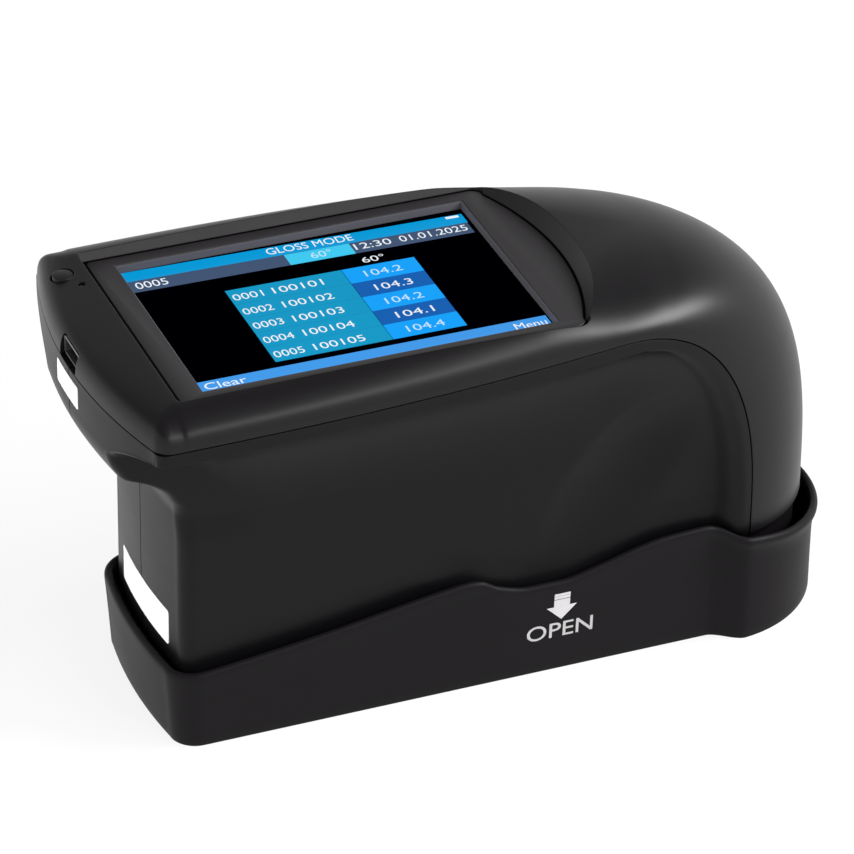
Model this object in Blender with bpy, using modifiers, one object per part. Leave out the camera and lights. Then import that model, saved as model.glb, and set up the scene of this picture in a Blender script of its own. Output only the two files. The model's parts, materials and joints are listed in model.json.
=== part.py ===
"""Handheld gloss meter standing in its calibration base.

+X runs from the display head's end face to the domed end, +Z is up, and the
origin is the middle of the footprint on the table. All sizes are in metres.
"""
import math

import bmesh
import bpy
from mathutils import Matrix, Vector

# Clearances
SEAT_GAP = 0.0003
PART_GAP = 0.0003
KEY_CLEARANCE = 0.0003
KEY_TO_SWITCH = 0.0006

# Calibration base
BASE_FRONT_X = -0.06885
BASE_HALF_WIDTH = 0.0229
BASE_FRONT_RADIUS = 0.117
BASE_CORNER_RADIUS = 0.0055
BASE_END_X = 0.05335
BASE_END_RADIUS = 0.0268
BASE_FLARE = 0.0012
END_FLARE = 0.0010
BASE_WALL = 0.0015
BASE_FLOOR = 0.0022
BASE_LIP_RADIUS = 0.0009
BASE_EDGE_RADIUS = 0.0003
BODY_CLEARANCE = 0.0006
FRONT_CLEARANCE = 0.0003
# Height of the rim at each place along the base
RIM_STATIONS = (
    (-0.0700, 0.0176), (-0.0658, 0.0179), (-0.0526, 0.0193), (-0.0355, 0.0216), (-0.0204, 0.0241),
    (-0.0117, 0.0255), (-0.0052, 0.0262), (-0.0026, 0.0259), (0.0015, 0.0237), (0.0080, 0.0221),
    (0.0148, 0.0221), (0.0236, 0.0239), (0.0324, 0.0263), (0.0380, 0.0273), (0.0470, 0.0277),
    (0.0500, 0.0271), (0.0540, 0.0255), (0.0600, 0.0244), (0.0660, 0.0231), (0.0720, 0.0220),
    (0.0770, 0.0209), (0.0815, 0.0203),
)

# Calibration tile
TILE_LENGTH = 0.031
TILE_WIDTH = 0.021
TILE_THICKNESS = 0.0020
TILE_EDGE_GAP = 0.0003
HOLDER_MARGIN = 0.009
HOLDER_SIDE_MARGIN = 0.004
HOLDER_BOTTOM = 0.0010
TILE_SCREW_HEAD_RADIUS = 0.0021
TILE_SCREW_HEAD_HEIGHT = 0.0011
TILE_SCREW_SHANK_RADIUS = 0.0010
TILE_SCREW_BITE = 0.0012

# Side step between the flat grip and the round spine
STEP_RUN = 0.0065
STEP_LAND = 0.0015
BASE_STEP_START = 0.0486
BASE_STEP_END = 0.0561

# Parting curve between the top cover and the lower housing, seen from the side
PARTING_Z = 0.0806
PARTING_LAG = 0.0015
PARTING_FOOT_X = 0.05695
PARTING_BEND_Z = 0.0330
PARTING_POWER = 2.3

# Display head
HEAD_END_MARGIN = 0.0120
RAIL_WIDTH = 0.0083
HEAD_ARC_RADIUS = 0.119
HEAD_CORNER_RADIUS = 0.0025
TAPER_POWER = 2.4
HEAD_FACE_HEIGHT = 0.0040
HEAD_HEIGHT = 0.0067
DOME_RISE = 0.0015
DOME_LEAD = 0.0018
SPINE_CENTER_X = 0.05205
SPINE_RADIUS = 0.0250
DOME_FOOT_Z = 0.0280
DOME_POWER = 2.9
# Half-width of the shoulder's round and height of the skirt under it, at each distance from the dome's start
SHOULDER_STATIONS = (
    (-0.01515, 0.0080, 0.0008), (-0.00815, 0.0105, 0.0008), (-0.00115, 0.0165, 0.0005),
    (0.00585, 0.0225, 0.0003), (0.01385, 0.0270, 0.0002), (0.02385, 0.0300, 0.0002),
)
# Rows that round the end face: set back, share of the face's height, share of the bow, shoulder
END_ROWS = (
    (0.0000, 0.00, 1.0, 0.0025), (0.0002, 0.55, 1.0, 0.0025), (0.0007, 0.95, 1.0, 0.0030),
    (0.0016, 1.20, 1.0, 0.0037), (0.0030, 1.35, 0.95, 0.0047), (0.0056, 1.48, 0.65, 0.0062),
    (0.0090, 1.60, 0.30, 0.0075),
)
HOLLOW_END_ROWS = ((0.0027, 1.18, 1.0, 0.0030), (0.0050, 1.42, 0.7, 0.0050), (0.0080, 1.55, 0.35, 0.0065))
COVER_SKIRT = 0.0008
COVER_WALL = 0.0024
HOLLOW_REACH = 0.0040
MIN_SKIRT = 0.0002
HOUSING_WALL = 0.0020

# Lower housing
METER_FOOT_Z = 0.0060
HOLLOW_LIFT = 0.7
BACK_REACH = 0.0035
SPINE_FOOT_Z = 0.0250
SPINE_FOOT_DEPTH = 0.0012
SPINE_FOOT_FADE = 0.0025
STRIP_HEIGHT = 0.0030
OVERHANG_DEPTH = 0.0276
PAD_HEIGHT = 0.0009
PAD_FADE = 0.0060
NECK_CORNER_RADIUS = 0.0035
CHIN_STATIONS = (
    # height over the parting line, how far the face stands out of the neck (share), bow length, bow half-width
    (-0.0326, 0.00, 0.0035, 0.0035), (-0.0301, 0.08, 0.0045, 0.0070), (-0.0281, 0.30, 0.0070, 0.0130),
    (-0.0256, 0.53, 0.0105, 0.0170), (-0.0226, 0.72, 0.0135, 0.0185), (-0.0196, 0.85, 0.0145, 0.0180),
    (-0.0156, 0.94, 0.0125, 0.0155), (-0.0116, 1.00, 0.0090, 0.0105), (-0.0076, 1.00, 0.0055, 0.0065),
    (-0.0046, 1.00, 0.0035, 0.0040), (-0.0030, 1.00, 0.0025, 0.0025),
)
# Heights of the housing's rings over the parting line, from the neck up to the strip
CHIN_RINGS = (-0.0301, -0.0276, -0.0251, -0.0221, -0.0186, -0.0151, -0.0116, -0.0086, -0.0061, -0.0043, -0.0034)
GRIP_RINGS = 10
RING_OVERRUN = 0.001
RIDGE_STATIONS = (
    (-0.0539, 0.0471), (-0.0412, 0.0394), (-0.0284, 0.0328), (-0.0154, 0.0273), (-0.0066, 0.0240),
    (0.0023, 0.0214), (0.0157, 0.0187), (0.0245, 0.0203), (0.0355, 0.0263),
)
DIMPLE_X = 0.02865
DIMPLE_Z = 0.0420
DIMPLE_HALF_LENGTH = 0.0240
DIMPLE_HALF_WIDTH = 0.0105
DIMPLE_ANGLE = math.radians(52)
DIMPLE_DEPTH = 0.0020

# Display
SCREEN_X = -0.02535
OPENING_LENGTH = 0.0750
OPENING_WIDTH = 0.0511
PLATE_DEPTH = 0.0017
PLATE_THICKNESS = 0.0016
PLATE_LEFT_MARGIN = 0.0065
PLATE_RIGHT_MARGIN = 0.0108
PLATE_SIDE_MARGIN = 0.00365
PLATE_ARC_RADIUS = 0.065
PLATE_CORNER_RADIUS = 0.0030
CRESCENT_SLOPE = 0.73
SEAT_THICKNESS = 0.0025
SEAT_COVER = 0.0009
SEAT_SET_BACK = 0.0035
SEAT_INSET = 0.0020
SEAT_DRAFT = 0.0003
SEAT_TOP_INSET = 0.0046
SEAT_LAP = 0.0008
SEAT_REACH = 0.0050
SEAT_TOP_REACH = 0.0045
SEAT_DROP = 0.0006
SEAT_RISE = 0.0011
SEAT_CORNER = 0.006
TOUCH_MARGIN = 0.0015
TOUCH_THICKNESS = 0.0011
MODULE_THICKNESS = 0.0026
MODULE_MARGIN = 0.0012

# Board and electronics
BOARD_SET_BACK = 0.00635
BOARD_RIGHT_X = 0.0050
BOARD_SIDE_MARGIN = 0.00105
BOARD_THICKNESS = 0.0016
BATTERY_LENGTH = 0.0500
BATTERY_WIDTH = 0.0240
BATTERY_HEIGHT = 0.0100
BATTERY_X = -0.0260
SHELF_Z = 0.0580
SHELF_THICKNESS = 0.0020
SHELF_LEFT_X = -0.0590
SHELF_RIGHT_X = 0.0350
SHELF_HALF_WIDTH = 0.0162
POST_RADIUS = 0.0025
POST_X_PAIR = (-0.0555, 0.0020)
POST_Y = 0.0135
LEG_X_PAIR = (-0.0390, 0.0290)
LEG_RADIUS = 0.0040

# Optics
APERTURE_X = -0.0050
APERTURE_LENGTH = 0.0150
APERTURE_WIDTH = 0.0090
BEAM_ANGLE = math.radians(60)
BORE_RADIUS = 0.0050
BLOCK_HALF_WIDTH = 0.0130
BLOCK_HALF_LENGTH = 0.0420
BLOCK_HEIGHT = 0.0320
BLOCK_FOOT_HALF_LENGTH = 0.0170
LENS_RADIUS = 0.0047
LENS_THICKNESS = 0.0030
LENS_DISTANCE = 0.0270
SOURCE_RADIUS = 0.0046
SOURCE_LENGTH = 0.0080
SOURCE_DISTANCE = 0.0370

# Bottom plate and its screws
BOTTOM_THICKNESS = 0.0025
BOTTOM_INSET = 0.0028
SCREW_X_SPREAD = 0.0125
SCREW_Y_SPREAD = 0.0092
SCREW_HEAD_RADIUS = 0.0025
SCREW_HEAD_HEIGHT = 0.0012
SCREW_SHANK_RADIUS = 0.0012
SCREW_SHANK_LENGTH = 0.0080

# Keys and sockets
POWER_SET_BACK = 0.0070
POWER_INSET = 0.0050
POWER_RADIUS = 0.0021
POWER_PROUD = 0.0012
LAMP_SET_BACK = 0.0093
LAMP_INSET = 0.0104
LAMP_RADIUS = 0.0005
LAMP_PROUD = 0.0010
SWITCH_SIZE = 0.0026
SWITCH_HEIGHT = 0.0012
MEASURE_X = -0.0120
MEASURE_Z = 0.0655
MEASURE_RADIUS = 0.0050
MEASURE_PROUD = 0.0008
BRACKET_Y = 0.0130
BRACKET_THICKNESS = 0.0015
USB_Y = 0.0010
USB_WIDTH = 0.0080
USB_HEIGHT = 0.0031
USB_DEPTH = 0.0090
USB_SHELL = 0.0004
USB_RISE = 0.0022
USB_SET_BACK = 0.0010
USB_ROOM = 0.0020

# How far a cutter runs past what it cuts
OVERCUT = 0.004

# How finely curves are divided
ARC_STEPS = 4
CORNER_STEPS = 5
SIDE_STEPS = 22
STEP_STEPS = 6
END_STEPS = 12
HEAD_ROWS = 9
DOME_ROWS = 13
# Shares of a cover row's half-width at which it has a point
SECTION_FRACTIONS = (0.0, 0.14, 0.28, 0.42, 0.55, 0.66, 0.75, 0.82, 0.88, 0.93, 0.965, 0.99, 1.0)
ROUND_STEPS = 32

# Sizes that follow from those above
PLATE_LEFT_X = SCREEN_X - OPENING_LENGTH / 2 - PLATE_LEFT_MARGIN
PLATE_APEX_X = SCREEN_X + OPENING_LENGTH / 2 + PLATE_RIGHT_MARGIN
PLATE_HALF_WIDTH = OPENING_WIDTH / 2 + PLATE_SIDE_MARGIN
HEAD_HALF_WIDTH = PLATE_HALF_WIDTH + RAIL_WIDTH
HEAD_END_X = PLATE_LEFT_X - HEAD_END_MARGIN
HEAD_TOP_Z = PARTING_Z + HEAD_HEIGHT
DOME_TOP_Z = HEAD_TOP_Z + DOME_RISE
DOME_START_X = PLATE_APEX_X - DOME_LEAD
PARTING_BEND_X = DOME_START_X + PARTING_LAG
PLATE_Z = HEAD_TOP_Z - PLATE_DEPTH
BOARD_LEFT_X = HEAD_END_X + BOARD_SET_BACK
BOARD_HALF_WIDTH = OPENING_WIDTH / 2 + BOARD_SIDE_MARGIN
POWER_X = HEAD_END_X + POWER_SET_BACK
POWER_Y = PLATE_HALF_WIDTH - POWER_INSET
POWER_TOP_Z = PLATE_Z + POWER_PROUD
LAMP_X = HEAD_END_X + LAMP_SET_BACK
LAMP_Y = PLATE_HALF_WIDTH - LAMP_INSET
LAMP_TOP_Z = PLATE_Z + LAMP_PROUD
USB_CENTER_Z = PARTING_Z + USB_RISE
BODY_INSET = BASE_WALL + BODY_CLEARANCE
NECK_FRONT_X = BASE_FRONT_X + BASE_WALL + FRONT_CLEARANCE
BODY_HALF_WIDTH = BASE_HALF_WIDTH - BODY_INSET
SPINE_APEX_X = SPINE_CENTER_X + SPINE_RADIUS
SPINE_HALF_WIDTH = math.sqrt(SPINE_RADIUS ** 2 - (PARTING_FOOT_X - SPINE_CENTER_X) ** 2)
SPINE_TURN = math.acos((PARTING_FOOT_X - SPINE_CENTER_X) / SPINE_RADIUS)
PARTING_RUN_X = PARTING_FOOT_X - PARTING_BEND_X
PARTING_RUN_Z = PARTING_Z - PARTING_BEND_Z
RECESS_FLOOR_Z = PLATE_Z - PLATE_THICKNESS - SEAT_GAP
HOLDER_Z = BASE_FLOOR + SEAT_GAP
TILE_Z = METER_FOOT_Z - SEAT_GAP - TILE_THICKNESS
BOTTOM_TOP_Z = METER_FOOT_Z + BOTTOM_THICKNESS
BLOCK_Z = BOTTOM_TOP_Z + SEAT_GAP
TOUCH_Z = RECESS_FLOOR_Z - TOUCH_THICKNESS
MODULE_Z = TOUCH_Z - SEAT_GAP - MODULE_THICKNESS
BOARD_TOP_Z = MODULE_Z - SEAT_GAP
BOARD_Z = BOARD_TOP_Z - BOARD_THICKNESS
SHELF_TOP_Z = SHELF_Z + SHELF_THICKNESS


def smoothstep(t):
    """Ease from 0 to 1 as t runs from 0 to 1."""
    t = min(1.0, max(0.0, t))
    return t * t * (3 - 2 * t)


def along(stations, x, column=1):
    """Smooth value at x through stations of (x, value, ...), without overshoot."""
    if x <= stations[0][0]:
        return stations[0][column]
    if x >= stations[-1][0]:
        return stations[-1][column]
    slopes = [
        (b[column] - a[column]) / (b[0] - a[0])
        for a, b in zip(stations, stations[1:])
    ]
    tangents = [0.0]
    for left, right in zip(slopes, slopes[1:]):
        tangents.append(2 * left * right / (left + right) if left * right > 0 else 0.0)
    tangents.append(0.0)
    for i, (a, b) in enumerate(zip(stations, stations[1:])):
        if x <= b[0]:
            run = b[0] - a[0]
            t = (x - a[0]) / run
            lift = tangents[i] * run * t * (1 - t) ** 2 - tangents[i + 1] * run * t * t * (1 - t)
            return a[column] + (b[column] - a[column]) * smoothstep(t) + lift
    return stations[-1][column]


def half_width(x):
    """Half-width of the body at the parting line, wide at the head and narrow at the spine."""
    t = (x - (HEAD_END_X + HEAD_CORNER_RADIUS)) / (PARTING_FOOT_X - HEAD_END_X - HEAD_CORNER_RADIUS)
    t = min(1.0, max(0.0, t))
    return SPINE_HALF_WIDTH + (HEAD_HALF_WIDTH - SPINE_HALF_WIDTH) * (1 - t ** TAPER_POWER)


def quarter_curve(center, radii, power, angle):
    """Point of a squared-off ellipse, from its side at angle 0 to its top at 90 degrees."""
    c = max(math.cos(angle), 0.0) ** (2 / power)
    s = max(math.sin(angle), 0.0) ** (2 / power)
    return center[0] + radii[0] * c, center[1] + radii[1] * s


def parting_x(z):
    """Place of the parting curve at a height."""
    share = min(1.0, max(0.0, (z - PARTING_BEND_Z) / PARTING_RUN_Z))
    return PARTING_BEND_X + PARTING_RUN_X * (1 - share ** PARTING_POWER) ** (1 / PARTING_POWER)


def parting_z(x):
    """Height of the parting curve at a place along the body."""
    share = min(1.0, max(0.0, (x - PARTING_BEND_X) / PARTING_RUN_X))
    return PARTING_BEND_Z + PARTING_RUN_Z * (1 - share ** PARTING_POWER) ** (1 / PARTING_POWER)


def foot_inset(z):
    """How far the spine draws in above the base's rim."""
    return SPINE_FOOT_DEPTH * smoothstep((SPINE_FOOT_Z - z) / SPINE_FOOT_FADE)


def rim_height(x):
    """Height of the base's wavy rim."""
    return along(RIM_STATIONS, x)


def mirrored(half):
    """Closed outline from its near half, which starts and ends on the middle plane."""
    return half + [(x, -y) for x, y in reversed(half[1:-1])]


class Foot:
    """Plan outline of the base or of the body that stands in it: flat sides, a step and a round end."""

    def __init__(self, front, width, corner, center, radius, step):
        self.front = front
        self.width = width
        self.corner = corner
        self.center = center
        self.radius = radius
        self.step = step

    def outline(self, inset):
        """Closed outline, moved inward by inset."""
        front, width, radius = self.front + inset, self.width - inset, self.radius - inset
        corner = max(self.corner - inset, 0.0012)
        bow = 1 / (2 * BASE_FRONT_RADIUS)
        flat = width - corner
        corner_x = front + bow * flat ** 2
        points = [(front + bow * (flat * i / ARC_STEPS) ** 2, -flat * i / ARC_STEPS) for i in range(ARC_STEPS)]
        for i in range(CORNER_STEPS + 1):
            angle = math.pi / 2 * i / CORNER_STEPS
            points.append((corner_x + corner * (1 - math.cos(angle)), -flat - corner * math.sin(angle)))
        side_x = corner_x + corner
        step_start, step_end = self.step
        for i in range(1, SIDE_STEPS + 1):
            points.append((side_x + (step_start - side_x) * i / SIDE_STEPS, -width))
        full = math.sqrt(radius ** 2 - (step_end - self.center) ** 2)
        for i in range(1, STEP_STEPS + 1):
            t = i / STEP_STEPS
            points.append((step_start + (step_end - step_start) * t, -width - (full - width) * smoothstep(t)))
        begin = math.asin(full / radius)
        for i in range(1, END_STEPS + 1):
            angle = begin * (1 - i / END_STEPS)
            points.append((self.center + radius * math.cos(angle), -radius * math.sin(angle)))
        return mirrored(points)


BASE_FOOT = Foot(
    BASE_FRONT_X, BASE_HALF_WIDTH, BASE_CORNER_RADIUS, BASE_END_X, BASE_END_RADIUS,
    (BASE_STEP_START, BASE_STEP_END),
)
BODY_FOOT = Foot(
    NECK_FRONT_X, BODY_HALF_WIDTH, NECK_CORNER_RADIUS, SPINE_CENTER_X, SPINE_RADIUS - SPINE_FOOT_DEPTH,
    (PARTING_FOOT_X - STEP_LAND - STEP_RUN, PARTING_FOOT_X - STEP_LAND),
)


def new_mesh_object(name, mesh):
    """Link a mesh as an object in the scene's first collection."""
    obj = bpy.data.objects.new(name, mesh)
    bpy.context.scene.collection.objects.link(obj)
    return obj


def loft(name, rings):
    """Solid through closed rings of equal point counts, with flat ends."""
    bm = bmesh.new()
    rows = [[bm.verts.new(p) for p in ring] for ring in rings]
    count = len(rows[0])
    for lower, upper in zip(rows, rows[1:]):
        for i in range(count):
            j = (i + 1) % count
            bm.faces.new((lower[i], lower[j], upper[j], upper[i]))
    bm.faces.new(rows[0])
    bm.faces.new(rows[-1])
    bmesh.ops.recalc_face_normals(bm, faces=bm.faces)
    mesh = bpy.data.meshes.new(name)
    bm.to_mesh(mesh)
    bm.free()
    return new_mesh_object(name, mesh)


def prism(name, outline, z_low, z_high):
    """Upright solid from a flat outline."""
    rings = [[(x, y, z) for x, y in outline] for z in (z_low, z_high)]
    return loft(name, rings)


def side_prism(name, profile, y_low, y_high):
    """Solid from a side view profile of (x, z) points."""
    rings = [[(x, y, z) for x, z in profile] for y in (y_low, y_high)]
    return loft(name, rings)


def box(name, low, high):
    """Block between two corners, from the cube primitive."""
    bpy.ops.mesh.primitive_cube_add(size=1)
    obj = bpy.context.object
    obj.name = obj.data.name = name
    size = Vector(high) - Vector(low)
    obj.data.transform(Matrix.Diagonal((*size, 1)))
    obj.location = (Vector(high) + Vector(low)) / 2
    return obj


def cylinder(name, center, radius, depth, axis=(0, 0, 1), steps=ROUND_STEPS):
    """Cylinder centred on a point, along an axis."""
    bpy.ops.mesh.primitive_cylinder_add(vertices=steps, radius=radius, depth=depth)
    obj = bpy.context.object
    obj.name = obj.data.name = name
    turn = Vector((0, 0, 1)).rotation_difference(Vector(axis))
    obj.data.transform(turn.to_matrix().to_4x4())
    obj.location = center
    return obj


def turned(name, profile, steps=ROUND_STEPS):
    """Turned piece about its own Z axis from a profile of (radius, z), listed from top to bottom."""
    bm = bmesh.new()
    verts = [bm.verts.new((r, 0, z)) for r, z in profile]
    for a, b in zip(verts, verts[1:]):
        bm.edges.new((a, b))
    mesh = bpy.data.meshes.new(name)
    bm.to_mesh(mesh)
    bm.free()
    obj = new_mesh_object(name, mesh)
    screw = obj.modifiers.new("turn", "SCREW")
    screw.steps = screw.render_steps = steps
    screw.use_merge_vertices = True
    screw.merge_threshold = 0.00001
    return obj


def joined(name, objects):
    """One mesh object that holds several separate solids, in world space."""
    bm = bmesh.new()
    for obj in objects:
        bpy.context.view_layer.update()
        mesh = bpy.data.meshes.new_from_object(obj)
        mesh.transform(obj.matrix_world)
        bm.from_mesh(mesh)
        bpy.data.objects.remove(obj)
        bpy.data.meshes.remove(mesh)
    mesh = bpy.data.meshes.new(name)
    bm.to_mesh(mesh)
    bm.free()
    return new_mesh_object(name, mesh)


class Workshop:
    """Keeps the collections and joins, cuts, paints and files the pieces."""

    def __init__(self):
        self.parts = bpy.data.collections.new("gloss_meter")
        self.cutters = bpy.data.collections.new("cutters")
        for group in (self.parts, self.cutters):
            bpy.context.scene.collection.children.link(group)

    def move(self, obj, group):
        """Put an object in one collection only."""
        for holder in list(obj.users_collection):
            holder.objects.unlink(obj)
        group.objects.link(obj)

    def combine(self, obj, tool, operation):
        """Add a live Boolean modifier to obj, with tool kept as a wire cutter."""
        modifier = obj.modifiers.new(operation.lower(), "BOOLEAN")
        modifier.operation = operation
        modifier.solver = "EXACT"
        modifier.object = tool
        tool.hide_render = True
        tool.display_type = "WIRE"
        self.move(tool, self.cutters)

    def cut(self, obj, tool):
        """Take tool away from obj."""
        self.combine(obj, tool, "DIFFERENCE")

    def add(self, obj, tool):
        """Join tool to obj."""
        self.combine(obj, tool, "UNION")

    def keep(self, obj, tool):
        """Keep only what obj and tool share."""
        self.combine(obj, tool, "INTERSECT")

    def finish(self, obj, color, roughness, metallic=0.0, parent=None, smooth=True):
        """Paint a finished piece, file it and hang it from its parent."""
        material = bpy.data.materials.new(obj.name)
        material.use_nodes = True
        shader = material.node_tree.nodes["Principled BSDF"]
        shader.inputs["Base Color"].default_value = (*color, 1)
        shader.inputs["Roughness"].default_value = roughness
        shader.inputs["Metallic"].default_value = metallic
        obj.data.materials.clear()
        obj.data.materials.append(material)
        if smooth:
            obj.data.shade_smooth()
            obj.data.set_sharp_from_angle(angle=math.radians(35))
        self.move(obj, self.parts)
        if parent is not None:
            bpy.context.view_layer.update()
            obj.parent = parent
            obj.matrix_parent_inverse = parent.matrix_world.inverted()
        return obj


def build_tray(shop):
    """Base tray: a flared wall with a wavy rounded lip around a flat floor."""
    def ring(inset, height, end_inset=None):
        """Ring at an inset, which may differ on the round end, and at a height for each place."""
        fronts = BASE_FOOT.outline(inset)
        ends = BASE_FOOT.outline(inset if end_inset is None else end_inset)
        points = []
        for (front_x, front_y), (end_x, end_y) in zip(fronts, ends):
            t = smoothstep((front_x - BASE_STEP_START + 0.010) / 0.015)
            x, y = front_x + (end_x - front_x) * t, front_y + (end_y - front_y) * t
            points.append((x, y, height(x)))
        return points

    lip = BASE_LIP_RADIUS
    out, end = -BASE_FLARE, -END_FLARE
    rings = [
        ring(BASE_EDGE_RADIUS, lambda x: 0.0),
        ring(0.0, lambda x: BASE_EDGE_RADIUS),
        ring(out * 0.45, lambda x: 0.45 * rim_height(x), 0.0),
        ring(out * 0.78, lambda x: rim_height(x) - 0.0045, end * 0.15),
        ring(out, lambda x: rim_height(x) - lip * 1.4, end),
        ring(out + lip * 0.25, lambda x: rim_height(x) - lip * 0.35, end + lip * 0.25),
        ring(out + lip, rim_height, end + lip),
        ring(out + lip * 1.8, lambda x: rim_height(x) - lip * 0.5, end + lip * 1.7),
        ring(BASE_WALL * 0.6, lambda x: rim_height(x) - lip * 1.6),
        ring(BASE_WALL, lambda x: BASE_FLOOR + BASE_EDGE_RADIUS),
        ring(BASE_WALL + BASE_EDGE_RADIUS, lambda x: BASE_FLOOR),
    ]
    tray = loft("base_tray", rings)
    shop.cut(tray, joined("tile_screw_pilots", [
        cylinder("pilot", (x, 0, BASE_FLOOR), TILE_SCREW_SHANK_RADIUS + SEAT_GAP, 2 * TILE_SCREW_BITE + SEAT_GAP)
        for x in tile_screw_places()
    ]))
    return shop.finish(tray, (0.020, 0.019, 0.020), 0.42)


def tile_screw_places():
    """Places along X of the two screws that hold the tile's holder."""
    reach = TILE_LENGTH / 2 + HOLDER_MARGIN / 2
    return APERTURE_X - reach, APERTURE_X + reach


def build_tile(shop):
    """Holder, black glass tile and screws on the tray's floor."""
    half_x = TILE_LENGTH / 2 + HOLDER_MARGIN
    half_y = TILE_WIDTH / 2 + HOLDER_SIDE_MARGIN
    top = METER_FOOT_Z - SEAT_GAP
    holder = box("tile_holder", (APERTURE_X - half_x, -half_y, HOLDER_Z), (APERTURE_X + half_x, half_y, top))
    pocket_x = TILE_LENGTH / 2 + TILE_EDGE_GAP
    pocket_y = TILE_WIDTH / 2 + TILE_EDGE_GAP
    pocket_z = TILE_Z - SEAT_GAP
    shop.cut(holder, box(
        "tile_pocket", (APERTURE_X - pocket_x, -pocket_y, pocket_z),
        (APERTURE_X + pocket_x, pocket_y, top + HOLDER_BOTTOM),
    ))
    head_low = top - TILE_SCREW_HEAD_HEIGHT - SEAT_GAP
    for number, x in enumerate(tile_screw_places(), 1):
        shop.cut(holder, turned(f"tile_screw_hole_{number}", [
            (0, top + HOLDER_BOTTOM),
            (TILE_SCREW_HEAD_RADIUS + SEAT_GAP, top + HOLDER_BOTTOM),
            (TILE_SCREW_HEAD_RADIUS + SEAT_GAP, head_low - SEAT_GAP),
            (TILE_SCREW_SHANK_RADIUS + SEAT_GAP, head_low - SEAT_GAP),
            (TILE_SCREW_SHANK_RADIUS + SEAT_GAP, HOLDER_Z - HOLDER_BOTTOM),
            (0, HOLDER_Z - HOLDER_BOTTOM),
        ]))
        bpy.data.objects[f"tile_screw_hole_{number}"].location = (x, 0, 0)
        screw = turned(f"tile_screw_{number}", [
            (0, head_low + TILE_SCREW_HEAD_HEIGHT),
            (TILE_SCREW_HEAD_RADIUS, head_low + TILE_SCREW_HEAD_HEIGHT),
            (TILE_SCREW_HEAD_RADIUS, head_low),
            (TILE_SCREW_SHANK_RADIUS, head_low),
            (TILE_SCREW_SHANK_RADIUS, BASE_FLOOR - TILE_SCREW_BITE + SEAT_GAP),
            (0, BASE_FLOOR - TILE_SCREW_BITE + SEAT_GAP),
        ])
        screw.location = (x, 0, 0)
        shop.finish(screw, (0.55, 0.55, 0.56), 0.3, 1.0)
    shop.finish(holder, (0.012, 0.012, 0.013), 0.55)
    tile = box(
        "calibration_tile", (APERTURE_X - TILE_LENGTH / 2, -TILE_WIDTH / 2, TILE_Z),
        (APERTURE_X + TILE_LENGTH / 2, TILE_WIDTH / 2, TILE_Z + TILE_THICKNESS),
    )
    shop.finish(tile, (0.004, 0.004, 0.005), 0.02)


def section_row(top, edge, width, bow, corner, skirt, turn=math.pi / 2, wall=0.0):
    """One closed cross row of the cover, from the far parting edge over the top to the near one.

    top and edge are (x, z) on the middle plane and at the parting line, bow is the
    front's curvature in plan, corner the shoulder's half-width, skirt the plain drop
    under it and turn the angle that the shoulder's arc covers. With a wall it is the
    row of the hollow inside, which runs on past the parting line.
    """
    drop_x, drop_z = edge[0] - top[0] - bow * width ** 2, edge[1] - top[1]
    depth = math.hypot(drop_x, drop_z)
    drop_x, drop_z = drop_x / depth, drop_z / depth
    if wall:
        top = (top[0] + drop_x * wall, top[1] + drop_z * wall)
        depth += HOLLOW_REACH - wall
        skirt += HOLLOW_REACH
        width -= wall
        corner = max(corner - wall, COVER_SKIRT)
    fall = (depth - skirt) / (1 - math.cos(turn))
    flat = max(0.0, width - corner * math.sin(turn))
    half = []
    for fraction in SECTION_FRACTIONS:
        y = width * fraction
        sine = min(max(0.0, y - flat) / (width - flat), 1.0) * math.sin(turn)
        fallen = fall * (1 - math.cos(math.asin(sine)))
        half.append((top[0] + bow * y * y + drop_x * fallen, y, top[1] + drop_z * fallen))
    half.append((top[0] + bow * width ** 2 + drop_x * depth, width, top[1] + drop_z * depth))
    return half[::-1] + [(x, -y, z) for x, y, z in half[1:]]


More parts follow.
